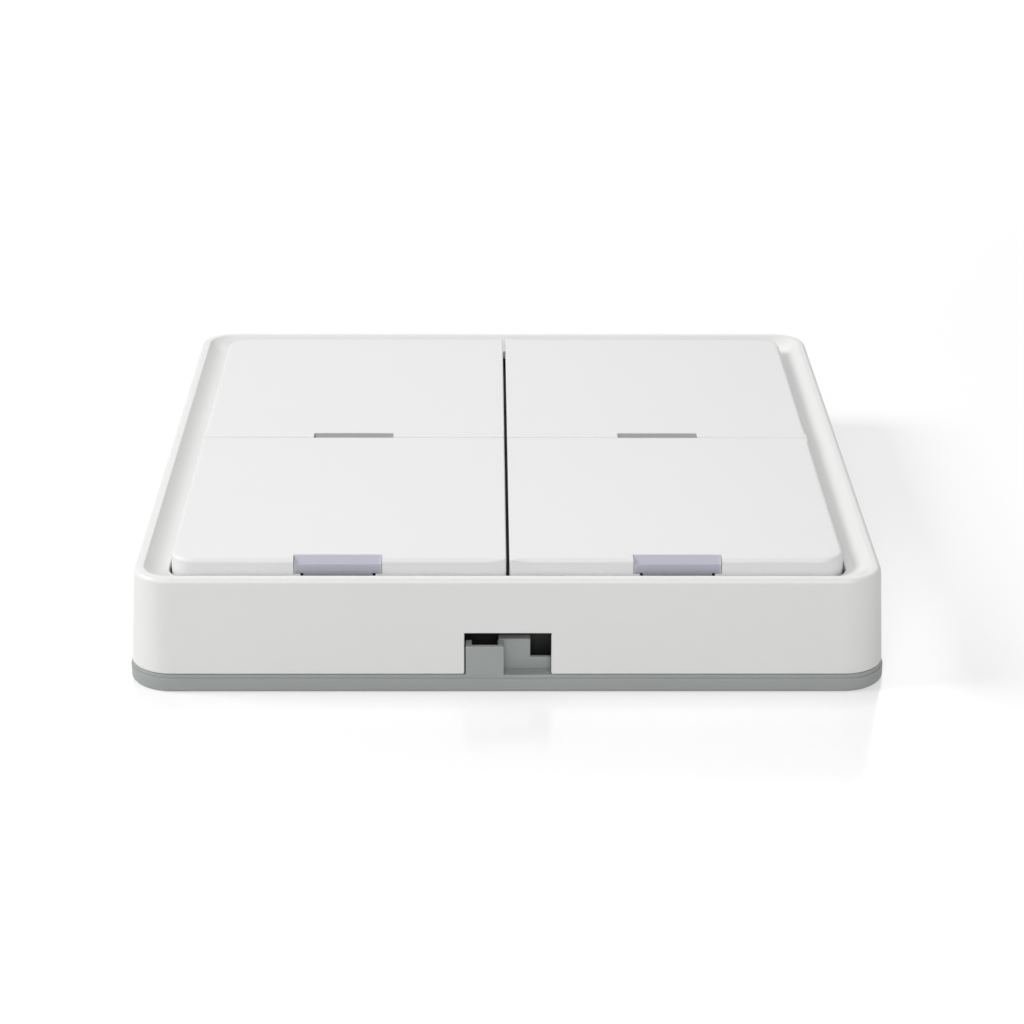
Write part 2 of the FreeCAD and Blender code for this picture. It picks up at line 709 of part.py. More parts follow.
def cut_window(body):
    """The notch for the light guide: wide near the top, and a narrower slot down the skirt."""
    through = f"({KEY_TOP} - {KEY_FOOT})"
    for width, depth in (("window_width", "window_head"), ("window_slot", through)):
        notch = sketch_on(body, "XY_Plane", KEY_TOP)
        draw_box(notch, f"-1 * {width} / 2", f"{width} / 2", f"-1 * {KEY_HALF_Y} - {CLEAR_CUT}",
                 f"-1 * {KEY_HALF_Y} + window_depth")
        cut(body, notch, depth)


def add_key_hinges(body):
    """Two pins near the upper edge, each held between a pair of ribs."""
    foot = f"({HINGE_LEVEL} - pin_radius)"
    ribs = sketch_on(body, "XY_Plane", foot)
    inner = "(hook_width / 2 + hook_play)"
    for side in (-1, 1):
        for edge in (-1, 1):
            middle = f"{side} * {HINGE_X} + {edge} * ({inner} + rib_thickness / 2)"
            draw_box(ribs, f"{middle} - rib_thickness / 2", f"{middle} + rib_thickness / 2",
                     f"{HINGE_Y} - pin_radius - hook_wall", f"{KEY_HALF_Y} - key_skirt + {OVERLAP}")
    grow(body, ribs, f"{SKIN_UNDER} + {OVERLAP} - {foot}")
    for side in (-1, 1):
        pin = sketch_on(body, "YZ_Plane", f"{side} * {HINGE_X} - {inner} - rib_thickness / 2")
        draw_circle(pin, HINGE_Y, HINGE_LEVEL, "pin_radius")
        grow(body, pin, f"2 * {inner} + rib_thickness")


def make_light_guide(quadrant):
    """A clear bar: its head fills the key's notch and its stem hangs over the lamp."""
    body = new_body(f"light_guide_{quadrant}")
    front = f"(-1 * {KEY_HALF_Y} + guide_play)"
    back = f"(-1 * {KEY_HALF_Y} + window_depth - guide_play)"
    top = f"({KEY_TOP} - guide_sink)"
    under = f"({SKIN_UNDER} - guide_play)"
    stem_front = f"-1 * {KEY_HALF_Y} + stem_setback"
    stem_back = f"{stem_front} + stem_depth"
    whole = sketch_on(body, "YZ_Plane", "-1 * guide_foot_width / 2")
    draw_polygon(whole, [(front, KEY_FOOT), (stem_front, KEY_FOOT), (stem_front, STEM_FOOT),
                         (stem_back, STEM_FOOT), (stem_back, under), (back, under),
                         (back, top), (front, f"{top} - guide_slope")])
    grow(body, whole, "guide_foot_width")
    head_width = "(window_width - 2 * guide_play)"
    head = sketch_on(body, "YZ_Plane", f"-1 * {head_width} / 2")
    foot = f"({KEY_TOP} - window_head + guide_play)"
    draw_polygon(head, [(front, foot), (back, foot), (back, top), (front, f"{top} - guide_slope")])
    grow(body, head, head_width)
    edge = value(f"{top} - guide_slope")
    soften(body, "Fillet", "guide_edge_round", lambda b: near(b.ZMin, edge) and near(b.ZMax, edge))
    place_in_quadrant(body, quadrant)


# Key carrier with the hooks that the keys' pins snap into

def make_key_carrier():
    body = new_body("key_carrier")
    plate = sketch_on(body, "XY_Plane", CARRIER_LEVEL)
    draw_rounded(plate, CARRIER_HALF, CARRIER_HALF, CARRIER_ROUND)
    grow(body, plate, "carrier_thickness")
    flange = sketch_on(body, "XY_Plane", CARRIER_TOP)
    draw_rounded(flange, CARRIER_HALF, CARRIER_HALF, CARRIER_ROUND)
    inner = f"({CARRIER_HALF} - carrier_flange)"
    draw_rounded(flange, inner, inner, f"({CARRIER_ROUND} - carrier_flange)")
    grow(body, flange, f"{LIP_UNDER} - {CARRIER_TOP}")
    add_hooks(body)
    holes = sketch_on(body, "XY_Plane", CARRIER_TOP)
    tact_half = "(tact_side / 2 + hole_play)"
    guide_half = "(guide_foot_width / 2 + hole_play)"
    for sx, sy in CORNERS:
        x = f"{sx} * {KEY_PLACE_X}"
        y = f"{sy} * {KEY_PLACE_Y}"
        draw_box(holes, f"{x} - {tact_half}", f"{x} + {tact_half}", f"{y} - {tact_half}",
                 f"{y} + {tact_half}")
        stem_front = f"{y} - {KEY_HALF_Y} + stem_setback"
        draw_box(holes, f"{x} - {guide_half}", f"{x} + {guide_half}", f"{stem_front} - hole_play",
                 f"{stem_front} + stem_depth + hole_play")
    cut(body, holes, "carrier_thickness")
    bosses = sketch_on(body, "XY_Plane", BOARD_TOP)
    bores = sketch_on(body, "XY_Plane", BOARD_TOP)
    for sx, sy in CORNERS:
        place = (f"{sx} * {SCREW_PLACE}", f"{sy} * {SCREW_PLACE}")
        draw_circle(bosses, *place, "boss_radius")
        draw_circle(bores, *place, "(screw_radius + screw_play)")
    grow(body, bosses, f"{CARRIER_LEVEL} + {OVERLAP} - {BOARD_TOP}")
    cut(body, bores, f"{SCREW_TIP} + screw_play - {BOARD_TOP}", outwards=True)


def add_hooks(body):
    """Two hooks for each key, each a block with a bore and a mouth that opens upwards."""
    blocks = sketch_on(body, "XY_Plane", f"{CARRIER_TOP} - {OVERLAP}")
    mouths = sketch_on(body, "XY_Plane", HOOK_TOP)
    bore = "(pin_radius + pin_play)"
    for sx, sy in CORNERS:
        hinge_y = f"{sy} * {KEY_PLACE_Y} + {HINGE_Y}"
        for side in (-1, 1):
            x = f"{sx} * {KEY_PLACE_X} + {side} * {HINGE_X}"
            draw_box(blocks, f"{x} - hook_width / 2", f"{x} + hook_width / 2",
                     f"{hinge_y} - {bore} - hook_wall", f"{hinge_y} + {bore} + hook_wall")
            draw_box(mouths, f"{x} - hook_width / 2 - hook_play", f"{x} + hook_width / 2 + hook_play",
                     f"{hinge_y} - hook_mouth / 2", f"{hinge_y} + hook_mouth / 2")
    grow(body, blocks, f"{HOOK_TOP} - {CARRIER_TOP} + {OVERLAP}")
    reach = f"({KEY_PLACE_X} + {HINGE_X} + hook_width / 2 + hook_play)"
    bores = sketch_on(body, "YZ_Plane", reach)
    for sy in (-1, 1):
        draw_circle(bores, f"{sy} * {KEY_PLACE_Y} + {HINGE_Y}", HINGE_LEVEL, bore)
    cut(body, bores, f"2 * {reach}")
    cut(body, mouths, f"{HOOK_TOP} - {HINGE_LEVEL}")


# Rear cover: a tray that closes the switch unit at the back

def make_rear_cover():
    body = new_body("rear_cover")
    outline = sketch_on(body, "XY_Plane", COVER_BACK)
    draw_rounded(outline, COVER_HALF, COVER_HALF, "cover_round")
    grow(body, outline, f"{CARRIER_LEVEL} - {COVER_BACK}")
    hollow = sketch_on(body, "XY_Plane", CARRIER_LEVEL)
    inner = f"({COVER_HALF} - cover_wall)"
    draw_rounded(hollow, inner, inner, "(cover_round - cover_wall)")
    cut(body, hollow, f"{CARRIER_LEVEL} - {COVER_FLOOR_TOP}")
    bosses = sketch_on(body, "XY_Plane", f"{COVER_FLOOR_TOP} - {OVERLAP}")
    bores = sketch_on(body, "XY_Plane", BOARD_UNDER)
    seats = sketch_on(body, "XY_Plane", COVER_BACK)
    for sx, sy in CORNERS:
        place = (f"{sx} * {SCREW_PLACE}", f"{sy} * {SCREW_PLACE}")
        draw_circle(bosses, *place, "cover_boss_radius")
        draw_circle(bores, *place, "(screw_radius + screw_play)")
        draw_circle(seats, *place, "(screw_head_radius + 2 * screw_play)")
    grow(body, bosses, f"{BOARD_UNDER} - {COVER_FLOOR_TOP} + {OVERLAP}")
    domes = sketch_on(body, "XY_Plane", f"{COVER_FLOOR_TOP} - {OVERLAP}")
    reliefs = sketch_on(body, "XY_Plane", COVER_BACK)
    for side in (-1, 1):
        x = f"{side} * slot_spacing / 2"
        draw_rounded(domes, "(relief_long / 2 + relief_skin)", "(relief_wide / 2 + relief_skin)",
                     "(relief_round + relief_skin)", x=x)
        draw_rounded(reliefs, "(relief_long / 2)", "(relief_wide / 2)", "relief_round", x=x)
    grow(body, domes, f"{COVER_BACK} + relief_deep + relief_skin - {COVER_FLOOR_TOP} + {OVERLAP}")
    cut(body, reliefs, "relief_deep", outwards=True)
    cut(body, bores, f"{BOARD_UNDER} - {COVER_BACK}")
    cut(body, seats, f"{SCREW_SEAT} - {COVER_BACK}", outwards=True)
    add_battery_door(body)


def add_battery_door(body):
    """A round opening for the coin cell, with two tabs that hold it in."""
    door = sketch_on(body, "XY_Plane", COVER_BACK)
    draw_circle(door, "0", "0", f"({HOLDER_BORE} + cell_play)")
    cut(body, door, f"cover_floor + {OVERLAP}", outwards=True)
    tabs = sketch_on(body, "XY_Plane", COVER_BACK)
    for side in (-1, 1):
        draw_side_box(tabs, side, "(cell_radius - tab_reach)",
                      f"({HOLDER_BORE} + cell_play + {OVERLAP})", "-1 * tab_width / 2", "tab_width / 2")
    grow(body, tabs, f"{CELL_BACK} - {COVER_BACK} - cell_skin_gap")


# Circuit board and what is soldered on it

def make_circuit_board():
    body = new_body("circuit_board")
    outline = sketch_on(body, "XY_Plane", BOARD_UNDER)
    draw_rounded(outline, BOARD_HALF, BOARD_HALF, "board_round")
    for sx, sy in CORNERS:
        draw_circle(outline, f"{sx} * {SCREW_PLACE}", f"{sy} * {SCREW_PLACE}",
                    "(screw_radius + screw_play)")
    grow(body, outline, "board_thickness")


def make_tact_switch(quadrant):
    """A bought-in push switch: its body, its steel cover and its plunger."""
    sx, sy = QUADRANTS[quadrant]
    x = f"{sx} * {KEY_PLACE_X}"
    y = f"{sy} * {KEY_PLACE_Y}"
    bore = "(plunger_radius + plunger_play)"
    well = f"({COVER_TOP} - plunger_well)"
    shell = block("case", x, y, BOARD_TOP, "tact_side", "tact_side", "tact_height")
    hole = drum("well", x, y, well, bore, f"{TACT_TOP} + {OVERLAP} - {well}")
    finish(f"tact_body_{quadrant}", minus("tact", shell, hole))
    cover_side = "(tact_side - 2 * tact_cover_inset)"
    plate = block("plate", x, y, TACT_TOP, cover_side, cover_side, "tact_cover")
    gap = drum("gap", x, y, f"{TACT_TOP} - {OVERLAP}", bore, f"tact_cover + 2 * {OVERLAP}")
    finish(f"tact_cover_{quadrant}", minus("cover", plate, gap))
    foot = f"({well} + plunger_travel + plunger_play)"
    finish(f"tact_plunger_{quadrant}",
           drum("plunger", x, y, foot, "plunger_radius", f"{PLUNGER_TOP} - {foot}"))


def make_switch_terminals():
    feet = []
    for sx, sy in CORNERS:
        for side in (-1, 1):
            for end in (-1, 1):
                x = f"{sx} * {KEY_PLACE_X} + {side} * (tact_side + terminal_long) / 2"
                y = f"{sy} * {KEY_PLACE_Y} + {end} * terminal_pitch / 2"
                feet.append(block("foot", x, y, BOARD_TOP, "terminal_long", "terminal_wide",
                                  "terminal_sheet"))
    finish("switch_terminals", together("terminals", feet))


def make_indicator_lamp(quadrant):
    """A surface-mount lamp under the light guide's stem, with its lens on top."""
    sx, sy = QUADRANTS[quadrant]
    x = f"{sx} * {KEY_PLACE_X}"
    y = f"{sy} * {KEY_PLACE_Y} - {KEY_HALF_Y} + lamp_setback"
    case = block("lamp_case", x, y, BOARD_TOP, "lamp_long", "lamp_wide", "lamp_height")
    lens = block("lamp_lens", x, y, f"{BOARD_TOP} + lamp_height - {OVERLAP}", "lens_long",
                 "lens_wide", f"lens_height + {OVERLAP}")
    finish(f"indicator_lamp_{quadrant}", together("lamp", [case, lens]))


def make_board_resistors():
    chips = []
    for sx, sy in CORNERS:
        chips.append(block("chip", f"{sx} * {KEY_PLACE_X} + chip_offset",
                           f"{sy} * {KEY_PLACE_Y} - {KEY_HALF_Y} + lamp_setback", BOARD_TOP,
                           "chip_long", "chip_wide", "chip_height"))
    finish("board_resistors", together("resistors", chips))


def make_radio():
    """A small module board under the main board, its shield can and its antenna trace."""
    level = f"({BOARD_UNDER} - radio_board)"
    finish("radio_module", block("module", "0", f"({RADIO_START} + {RADIO_END}) / 2", level,
                                 "radio_width", f"{RADIO_END} - {RADIO_START}", "radio_board"))
    can_y = f"({SHIELD_START} + {SHIELD_END}) / 2"
    can_foot = f"({level} - shield_height)"
    side = f"({SHIELD_END} - {SHIELD_START})"
    room_side = f"({side} - 2 * shield_sheet)"
    can = block("can", "0", can_y, can_foot, side, side, "shield_height")
    room = block("room", "0", can_y, f"{can_foot} + shield_sheet", room_side, room_side,
                 "shield_height")
    finish("radio_shield", minus("shield", can, room))
    make_antenna_trace(f"({level} - trace_thickness)")


def make_antenna_trace(level):
    """A copper line folded to and fro at the free end of the radio module."""
    middle = f"({TRACE_START} + trace_length / 2)"
    strips = []
    for i in range(TRACE_RUNS):
        run = i - (TRACE_RUNS - 1) / 2
        strips.append(block("run", f"{run} * trace_pitch", middle, level, "trace_width",
                            "trace_length", "trace_thickness"))
    for i in range(TRACE_RUNS - 1):
        turn = i - (TRACE_RUNS - 2) / 2
        end = 1 if i % 2 else -1
        strips.append(block("turn", f"{turn} * trace_pitch",
                            f"{middle} + {end} * (trace_length - trace_width) / 2", level,
                            "trace_pitch + trace_width", "trace_width", "trace_thickness"))
    trace = together("trace", strips)
    trace.Refine = True
    finish("antenna_trace", trace)


# Battery, its holder and its contacts

def make_battery_holder():
    body = new_body("battery_holder")
    foot = f"({COVER_FLOOR_TOP} + {OVERLAP})"
    outer = sketch_on(body, "XY_Plane", foot)
    draw_circle(outer, "0", "0", HOLDER_OUTER)
    grow(body, outer, f"{BOARD_UNDER} - {foot}")
    well = sketch_on(body, "XY_Plane", foot)
    draw_circle(well, "0", "0", HOLDER_BORE)
    cut(body, well, f"{ROOF_UNDER} - {foot}", outwards=True)
    window = sketch_on(body, "XY_Plane", BOARD_UNDER)
    draw_circle(window, "0", "0", "holder_window")
    cut(body, window, f"holder_roof + {OVERLAP}")
    slot = sketch_on(body, "XY_Plane", foot)
    draw_box(slot, f"{HOLDER_BORE} - {CLEAR_CUT}", f"{HOLDER_OUTER} + {CLEAR_CUT}",
             "-1 * holder_slot / 2", "holder_slot / 2")
    cut(body, slot, f"{BOARD_UNDER} - {foot}", outwards=True)


def make_coin_cell():
    """A steel can with a smaller, slightly raised cap on its negative side."""
    can = drum("can", "0", "0", CELL_BACK, "cell_radius", "cell_thickness - cell_cap_height")
    cap = drum("cap", "0", "0", f"{CELL_TOP} - cell_cap_height - {OVERLAP}",
               "cell_radius - cell_cap_inset", f"cell_cap_height + {OVERLAP}")
    finish("coin_cell", together("cell", [can, cap]))


def make_battery_contacts():
    """Sheet-metal strips bent to shape: a leaf on the cell's cap and a clip at its side."""
    level = f"({BOARD_UNDER} - contact_sheet)"
    leaf = new_body("contact_minus")
    spring = sketch_on(leaf, "XZ_Plane", "-1 * spring_wide / 2")
    touch = f"({CELL_TOP} + cell_skin_gap)"
    foot_end = "-1 * contact_wide + spring_foot"
    pad_start = f"({foot_end} + spring_ramp)"
    draw_polygon(spring, [
        ("-1 * contact_wide", level), (foot_end, level), (pad_start, touch),
        (f"{pad_start} + spring_pad", touch), (f"{pad_start} + spring_pad", f"{touch} + contact_sheet"),
        (f"{pad_start} + contact_sheet", f"{touch} + contact_sheet"),
        (f"{foot_end} + contact_sheet", BOARD_UNDER), ("-1 * contact_wide", BOARD_UNDER)])
    grow(leaf, spring, "spring_wide")
    side = new_body("contact_plus")
    clip = sketch_on(side, "XZ_Plane", "-1 * contact_wide / 2")
    face = "(cell_radius + cell_skin_gap)"
    foot = f"({COVER_FLOOR_TOP} + {OVERLAP})"
    draw_polygon(clip, [
        (face, foot), (f"{face} + contact_sheet", foot), (f"{face} + contact_sheet", level),
        (f"{face} + holder_wall", level), (f"{face} + holder_wall", BOARD_UNDER),
        (face, BOARD_UNDER)])
    grow(side, clip, "contact_wide")


def make_case_screws():
    """Four screws from the rear cover's back through the board into the key carrier."""
    back = f"({SCREW_SEAT} - screw_head_height)"
    reach = f"cross_depth + {OVERLAP}"
    screws = []
    for sx, sy in CORNERS:
        x = f"{sx} * {SCREW_PLACE}"
        y = f"{sy} * {SCREW_PLACE}"
        head = drum("head", x, y, back, "screw_head_radius", "screw_head_height")
        shank = drum("shank", x, y, f"{SCREW_SEAT} - {OVERLAP}", "screw_radius",
                     f"{SCREW_TIP} - {SCREW_SEAT} + {OVERLAP}")
        across = block("bar", x, y, f"{back} - {OVERLAP}", "cross_long", "cross_wide", reach)
        along = block("bar", x, y, f"{back} - {OVERLAP}", "cross_wide", "cross_long", reach)
        solid = together("screw", [head, shank])
        screws.append(minus("cross_screw", solid, together("cross", [across, along])))
    finish("case_screws", together("screws", screws))


def check_all():
    """Stop if anything in the document failed, or if a piece isn't a valid solid."""
    doc.recompute()
    for thing in doc.Objects:
        if "Invalid" in thing.State or "Error" in thing.State:
            raise ValueError(f"{thing.Label} failed: {thing.State}")
    for piece in pieces:
        if piece.Shape.isNull() or not piece.Shape.isValid() or not piece.Shape.Solids:
            raise ValueError(f"{piece.Label} isn't a valid solid")


def write_all():
    os.makedirs("parts", exist_ok=True)
    for piece in pieces:
        piece.Shape.exportStep(f"parts/{piece.Label}.step")
        print(piece.Label, len(piece.Shape.Solids), round(piece.Shape.Volume, 2))


make_base_plate()
make_adhesive_pads()
make_front_frame()
make_key_carrier()
make_rear_cover()
make_circuit_board()
make_switch_terminals()
make_board_resistors()
make_radio()
make_battery_holder()
make_coin_cell()
make_battery_contacts()
make_case_screws()
for name in QUADRANTS:
    make_key(name)
    make_light_guide(name)
    make_tact_switch(name)
    make_indicator_lamp(name)
check_all()
write_all()
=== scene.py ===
# %% [markdown]
# # Dressing a square wall switch
# The switch is a flat square box of white plastic on a thin grey back plate. Four flat keys fill a
# field inside a raised frame, and each key has a small milky window in its lower edge. The solid
# model of every piece is already there, exact to a hundredth of a millimetre, and this lesson adds
# what a solid model lacks: softened edges, moulded surfaces, and finishes.
#
# The solid model comes in first and never moves. Everything else is fitted to it.

# %% Load the solid model
import json
import math

import bmesh
import bpy
import numpy as np
from mathutils import Matrix, Vector


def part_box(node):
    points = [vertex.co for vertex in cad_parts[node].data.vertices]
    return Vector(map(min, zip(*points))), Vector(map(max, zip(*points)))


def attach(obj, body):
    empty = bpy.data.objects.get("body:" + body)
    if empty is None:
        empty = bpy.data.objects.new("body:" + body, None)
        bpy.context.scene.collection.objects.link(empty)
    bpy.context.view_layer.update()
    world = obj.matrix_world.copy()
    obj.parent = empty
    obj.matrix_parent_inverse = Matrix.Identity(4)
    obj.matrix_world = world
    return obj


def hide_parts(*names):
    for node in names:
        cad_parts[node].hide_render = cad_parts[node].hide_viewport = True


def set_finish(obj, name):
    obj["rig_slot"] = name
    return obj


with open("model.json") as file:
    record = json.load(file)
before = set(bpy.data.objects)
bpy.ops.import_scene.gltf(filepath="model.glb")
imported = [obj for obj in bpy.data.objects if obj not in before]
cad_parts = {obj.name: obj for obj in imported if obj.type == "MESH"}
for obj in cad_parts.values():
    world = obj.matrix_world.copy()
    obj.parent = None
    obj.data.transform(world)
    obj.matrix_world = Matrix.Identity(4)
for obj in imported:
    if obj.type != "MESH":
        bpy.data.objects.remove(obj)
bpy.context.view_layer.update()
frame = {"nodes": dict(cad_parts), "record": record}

# %% [markdown]
# ## Working in millimetres
# The scene is in metres, but the pieces here are drawn in millimetres, because a size such as 0.15
# is easier to read than 0.00015, and because cuts between meshes are safer at that scale. Each
# piece becomes metres once, when it is done.
#
# A few sizes are read from the solid model, so that the pieces can't drift away from it. A key's
# lowest point belongs to its hinge pins, so the foot of its skirt is counted down from its top.

# %% Sizes read from the solid model
METRE = 1000.0
SKIRT_DEPTH = 3.55


def box_mm(node):
    """Lowest and highest corner of a node of the solid model, in millimetres."""
    low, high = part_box(node)
    return np.array(low) * METRE, np.array(high) * METRE


QUADRANTS = {"upper_left": (-1, 1), "upper_right": (1, 1), "lower_left": (-1, -1), "lower_right": (1, -1)}
PLATE_HALF = box_mm("base_plate")[1][0]
(_, _, FRAME_FOOT), (FRAME_HALF, _, CREST) = box_mm("front_frame")
key_low, key_high = box_mm("key_upper_right")
KEY_TOP = key_high[2]
KEY_FOOT = KEY_TOP - SKIRT_DEPTH
KEY_HALF = (key_high - key_low)[:2] / 2
KEY_PLACE = (key_high + key_low)[:2] / 2
print("plate", round(PLATE_HALF * 2, 2), "crest", round(CREST, 2), "key", np.round(KEY_HALF * 2, 2))

# %% [markdown]
# ## One row of points for everything square
# Nearly every piece here is a rounded rectangle that changes its size as it rises: the frame, the
# keys, the back plate, the pads. So one function gives the row of points round such a rectangle,
# always with the same count, and a surface is a stack of these rows.
#
# A straight side could be one long face, but then the shading of the round corner would bleed along
# it, because a renderer blends the directions at a face's corners. A few extra points close to each
# end of a side keep the flat part flat.

# %% The row of points
ARC_STEPS = 14
NEAR_ENDS = np.array([0.2, 0.6, 1.2, 2.0])
CORNER_SIGNS = np.array([(1, 1), (-1, 1), (-1, -1), (1, -1)])


def row_directions():
    """Outward direction at each point of a row: (cos a, sin a), where a turns through each corner
    and stays at 90, 180, 270 and 360 degrees along the four sides."""
    turn = np.linspace(0, np.pi / 2, ARC_STEPS + 1)
    angles = np.concatenate([turn, np.full(2 * len(NEAR_ENDS), np.pi / 2)])
    angles = (angles + np.arange(4)[:, None] * np.pi / 2).ravel()
    return np.stack([np.cos(angles), np.sin(angles)], axis=-1)


DIRECTIONS = row_directions()


def row(half_x, half_y, radii, middle=(0, 0)):
    """(x, y) round a rectangle. A corner is centre + radius * (cos a, sin a), where the centre is the
    rectangle's corner drawn in by the radius. A side is start + step * (end - start), and on a short
    side the steps are tenths of it."""
    radii = np.broadcast_to(np.asarray(radii, float), 4)
    centres = CORNER_SIGNS * (np.array([half_x, half_y]) - radii[:, None])
    ways = DIRECTIONS.reshape(4, -1, 2)[:, : ARC_STEPS + 1]
    arcs = centres[:, None] + radii[:, None, None] * ways
    start, end = arcs[:, -1], np.roll(arcs[:, 0], -1, axis=0)
    length = np.linalg.norm(end - start, axis=1)[:, None]
    near = np.minimum(NEAR_ENDS / length, 0.1 * np.arange(1, len(NEAR_ENDS) + 1))
    steps = np.concatenate([near, 1 - near[:, ::-1]], axis=1)
    runs = start[:, None] + (end - start)[:, None] * steps[..., None]
    return np.concatenate([arcs, runs], axis=1).reshape(-1, 2) + np.asarray(middle, float)


def at_height(flat_row, height):
    """The row lifted to a height, which is a number or one number for each point."""
    return np.column_stack([flat_row, np.broadcast_to(height, len(flat_row))])


print("points in a row", len(DIRECTIONS))

# %% [markdown]
# ## From rows to a mesh
# A stack of rows becomes a skin of four-cornered faces. The two ends are each closed by one flat
# face, or the last row joins the first, as on a frame, whose section is a closed loop itself.
#
# Holes and notches could be drawn into the rows, but a cut is simpler: a second mesh is taken away
# from the first with the Boolean modifier, and the result is kept as a plain mesh. Faces that lie in
# one plane confuse that modifier, so a cutter runs well past the surface that it cuts, and a part
# that is added has a root that sinks into the piece.

# %% Meshes from rows, and cuts between meshes
MERGE = 1e-5
PAST = 1.0
ROOT = 0.2


def mesh_object(name, points, faces):
    """A new object from its points and faces. Points that fall together are merged, and all faces are
    turned outwards."""
    mesh = bpy.data.meshes.new(name)
    mesh.from_pydata(np.asarray(points, float).tolist(), [], faces)
    work = bmesh.new()
    work.from_mesh(mesh)
    bmesh.ops.remove_doubles(work, verts=work.verts, dist=MERGE)
    bmesh.ops.recalc_face_normals(work, faces=work.faces)
    work.to_mesh(mesh)
    work.free()
    piece = bpy.data.objects.new(name, mesh)
    bpy.context.scene.collection.objects.link(piece)
    return piece


def loft(name, rows, ring_shaped=False):
    """Faces between each row and the next: point j of row i joins j + 1 of both rows. The ends are
    closed by a flat face each, or if ring_shaped the last row joins the first."""
    grid = np.stack(rows)
    index = np.arange(grid.shape[0] * grid.shape[1]).reshape(grid.shape[:2])
    lower, upper = (index, np.roll(index, -1, axis=0)) if ring_shaped else (index[:-1], index[1:])
    quads = np.stack([lower, np.roll(lower, -1, axis=1), np.roll(upper, -1, axis=1), upper], axis=-1)
    faces = quads.reshape(-1, 4).tolist()
    if not ring_shaped:
        faces += [index[0].tolist(), index[-1].tolist()]
    return mesh_object(name, grid.reshape(-1, 3), faces)


def combine(piece, tools, operation):
    """The piece with each tool taken away (DIFFERENCE) or added (UNION), kept as a plain mesh."""
    for tool in tools:
        step = piece.modifiers.new("combine", "BOOLEAN")
        step.operation = operation
        step.solver = "EXACT"
        step.object = tool
    bpy.context.view_layer.update()
    done = bpy.data.meshes.new_from_object(piece.evaluated_get(bpy.context.evaluated_depsgraph_get()))
    piece.modifiers.clear()
    piece.data = done
    for tool in tools:
        bpy.data.objects.remove(tool)
    return piece


def carve(piece, *tools):
    """The piece without the space of the tools."""
    return combine(piece, tools, "DIFFERENCE")


def add(piece, *tools):
    """The piece and the tools as one skin."""
    return combine(piece, tools, "UNION")


# %% [markdown]
# ## Small rounded blocks
# A moulded block has no razor edges. A block here is a stack of rows: the side walls, a quarter
# circle that draws the row in while it rises to the top, and a flat top. A plain prism does for the
# cutters, and its edges can flare, so that the cut it leaves has a rounded rim.

# %% Blocks and prisms
QUARTER_STEPS = 6


def quarter_round(radius):
    """(in, down) from an upright wall to a flat top: radius * (1 - cos t, 1 - sin t), or one sharp
    corner for a radius of 0."""
    turn = np.linspace(0, np.pi / 2, QUARTER_STEPS) if radius else np.zeros(1)
    return radius * np.column_stack([1 - np.cos(turn), 1 - np.sin(turn)])


def block(name, low, high, corner, edge, foot_edge=0.0):
    """A box from its low to its high corner, with upright edges of radius corner. The rim of its top
    has radius edge, and the rim of its foot radius foot_edge."""
    low, high = np.asarray(low, float), np.asarray(high, float)
    half_x, half_y = (high - low)[:2] / 2
    middle = (high + low)[:2] / 2
    spots = [(inset, low[2] + up) for inset, up in quarter_round(foot_edge)[::-1]]
    spots += [(inset, high[2] - down) for inset, down in quarter_round(edge)]
    return loft(name, [at_height(row(half_x - inset, half_y - inset, corner - inset, middle), z)
                       for inset, z in spots])


def prism(name, corners, start, end, axis):
    """A straight prism: an outline of corners in the plane across the axis (0 is x, 1 is y, 2 is z),
    carried from start to end along it."""
    corners = np.asarray(corners, float)
    ends = [np.insert(corners, axis, place, axis=1) for place in (start, end)]
    count = len(corners)
    low = np.arange(count)
    sides = np.stack([low, np.roll(low, -1), np.roll(low, -1) + count, low + count], axis=-1)
    return mesh_object(name, np.concatenate(ends),
                       sides.tolist() + [low.tolist(), (low + count).tolist()])


def box(low, high, name="box"):
    """A plain box with sharp edges, to cut with or to add."""
    (x0, y0, z0), (x1, y1, z1) = low, high
    return prism(name, [(x0, y0), (x1, y0), (x1, y1), (x0, y1)], z0, z1, 2)


# %% [markdown]
# ## Handing a piece over
# Every new piece stands for a node of the solid model, moves with the same body, and takes its
# finish from the same slot. Smooth shading blends directions over the faces, and edges that turn by
# more than 30 degrees stay sharp. The Weighted Normal modifier lets the large flat faces win where
# they meet small round ones, so that flats look flat.

# %% Hand a piece over
SHARP_TURN = math.radians(30)
pieces = []


def settle(piece, body, node, slot):
    """Turns a finished piece to metres, shades it, and puts it in its node's place."""
    piece.data.transform(Matrix.Scale(1 / METRE, 4))
    piece.data.shade_smooth()
    piece.data.set_sharp_from_angle(angle=SHARP_TURN)
    even = piece.modifiers.new("even", "WEIGHTED_NORMAL")
    even.keep_sharp = True
    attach(piece, body)
    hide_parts(node)
    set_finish(piece, slot)
    pieces.append(piece)
    print(piece.name, len(piece.data.polygons), "faces")


# %% [markdown]
# ## The frame
# The real frame is one moulding. Its walls lean in a little so that it leaves the mould, its crest is
# rounded, and a shallow hollow, a cove, runs round the inside of the crest down to the keys. The
# cove catches the light on one side and loses it on the other, and that is most of what the eye
# reads as the shape of this switch.
#
# So the section is drawn first, as pairs of distance from the middle and height, out of short
# straight runs and arcs. Then each pair becomes a row, and the rows close into a ring.

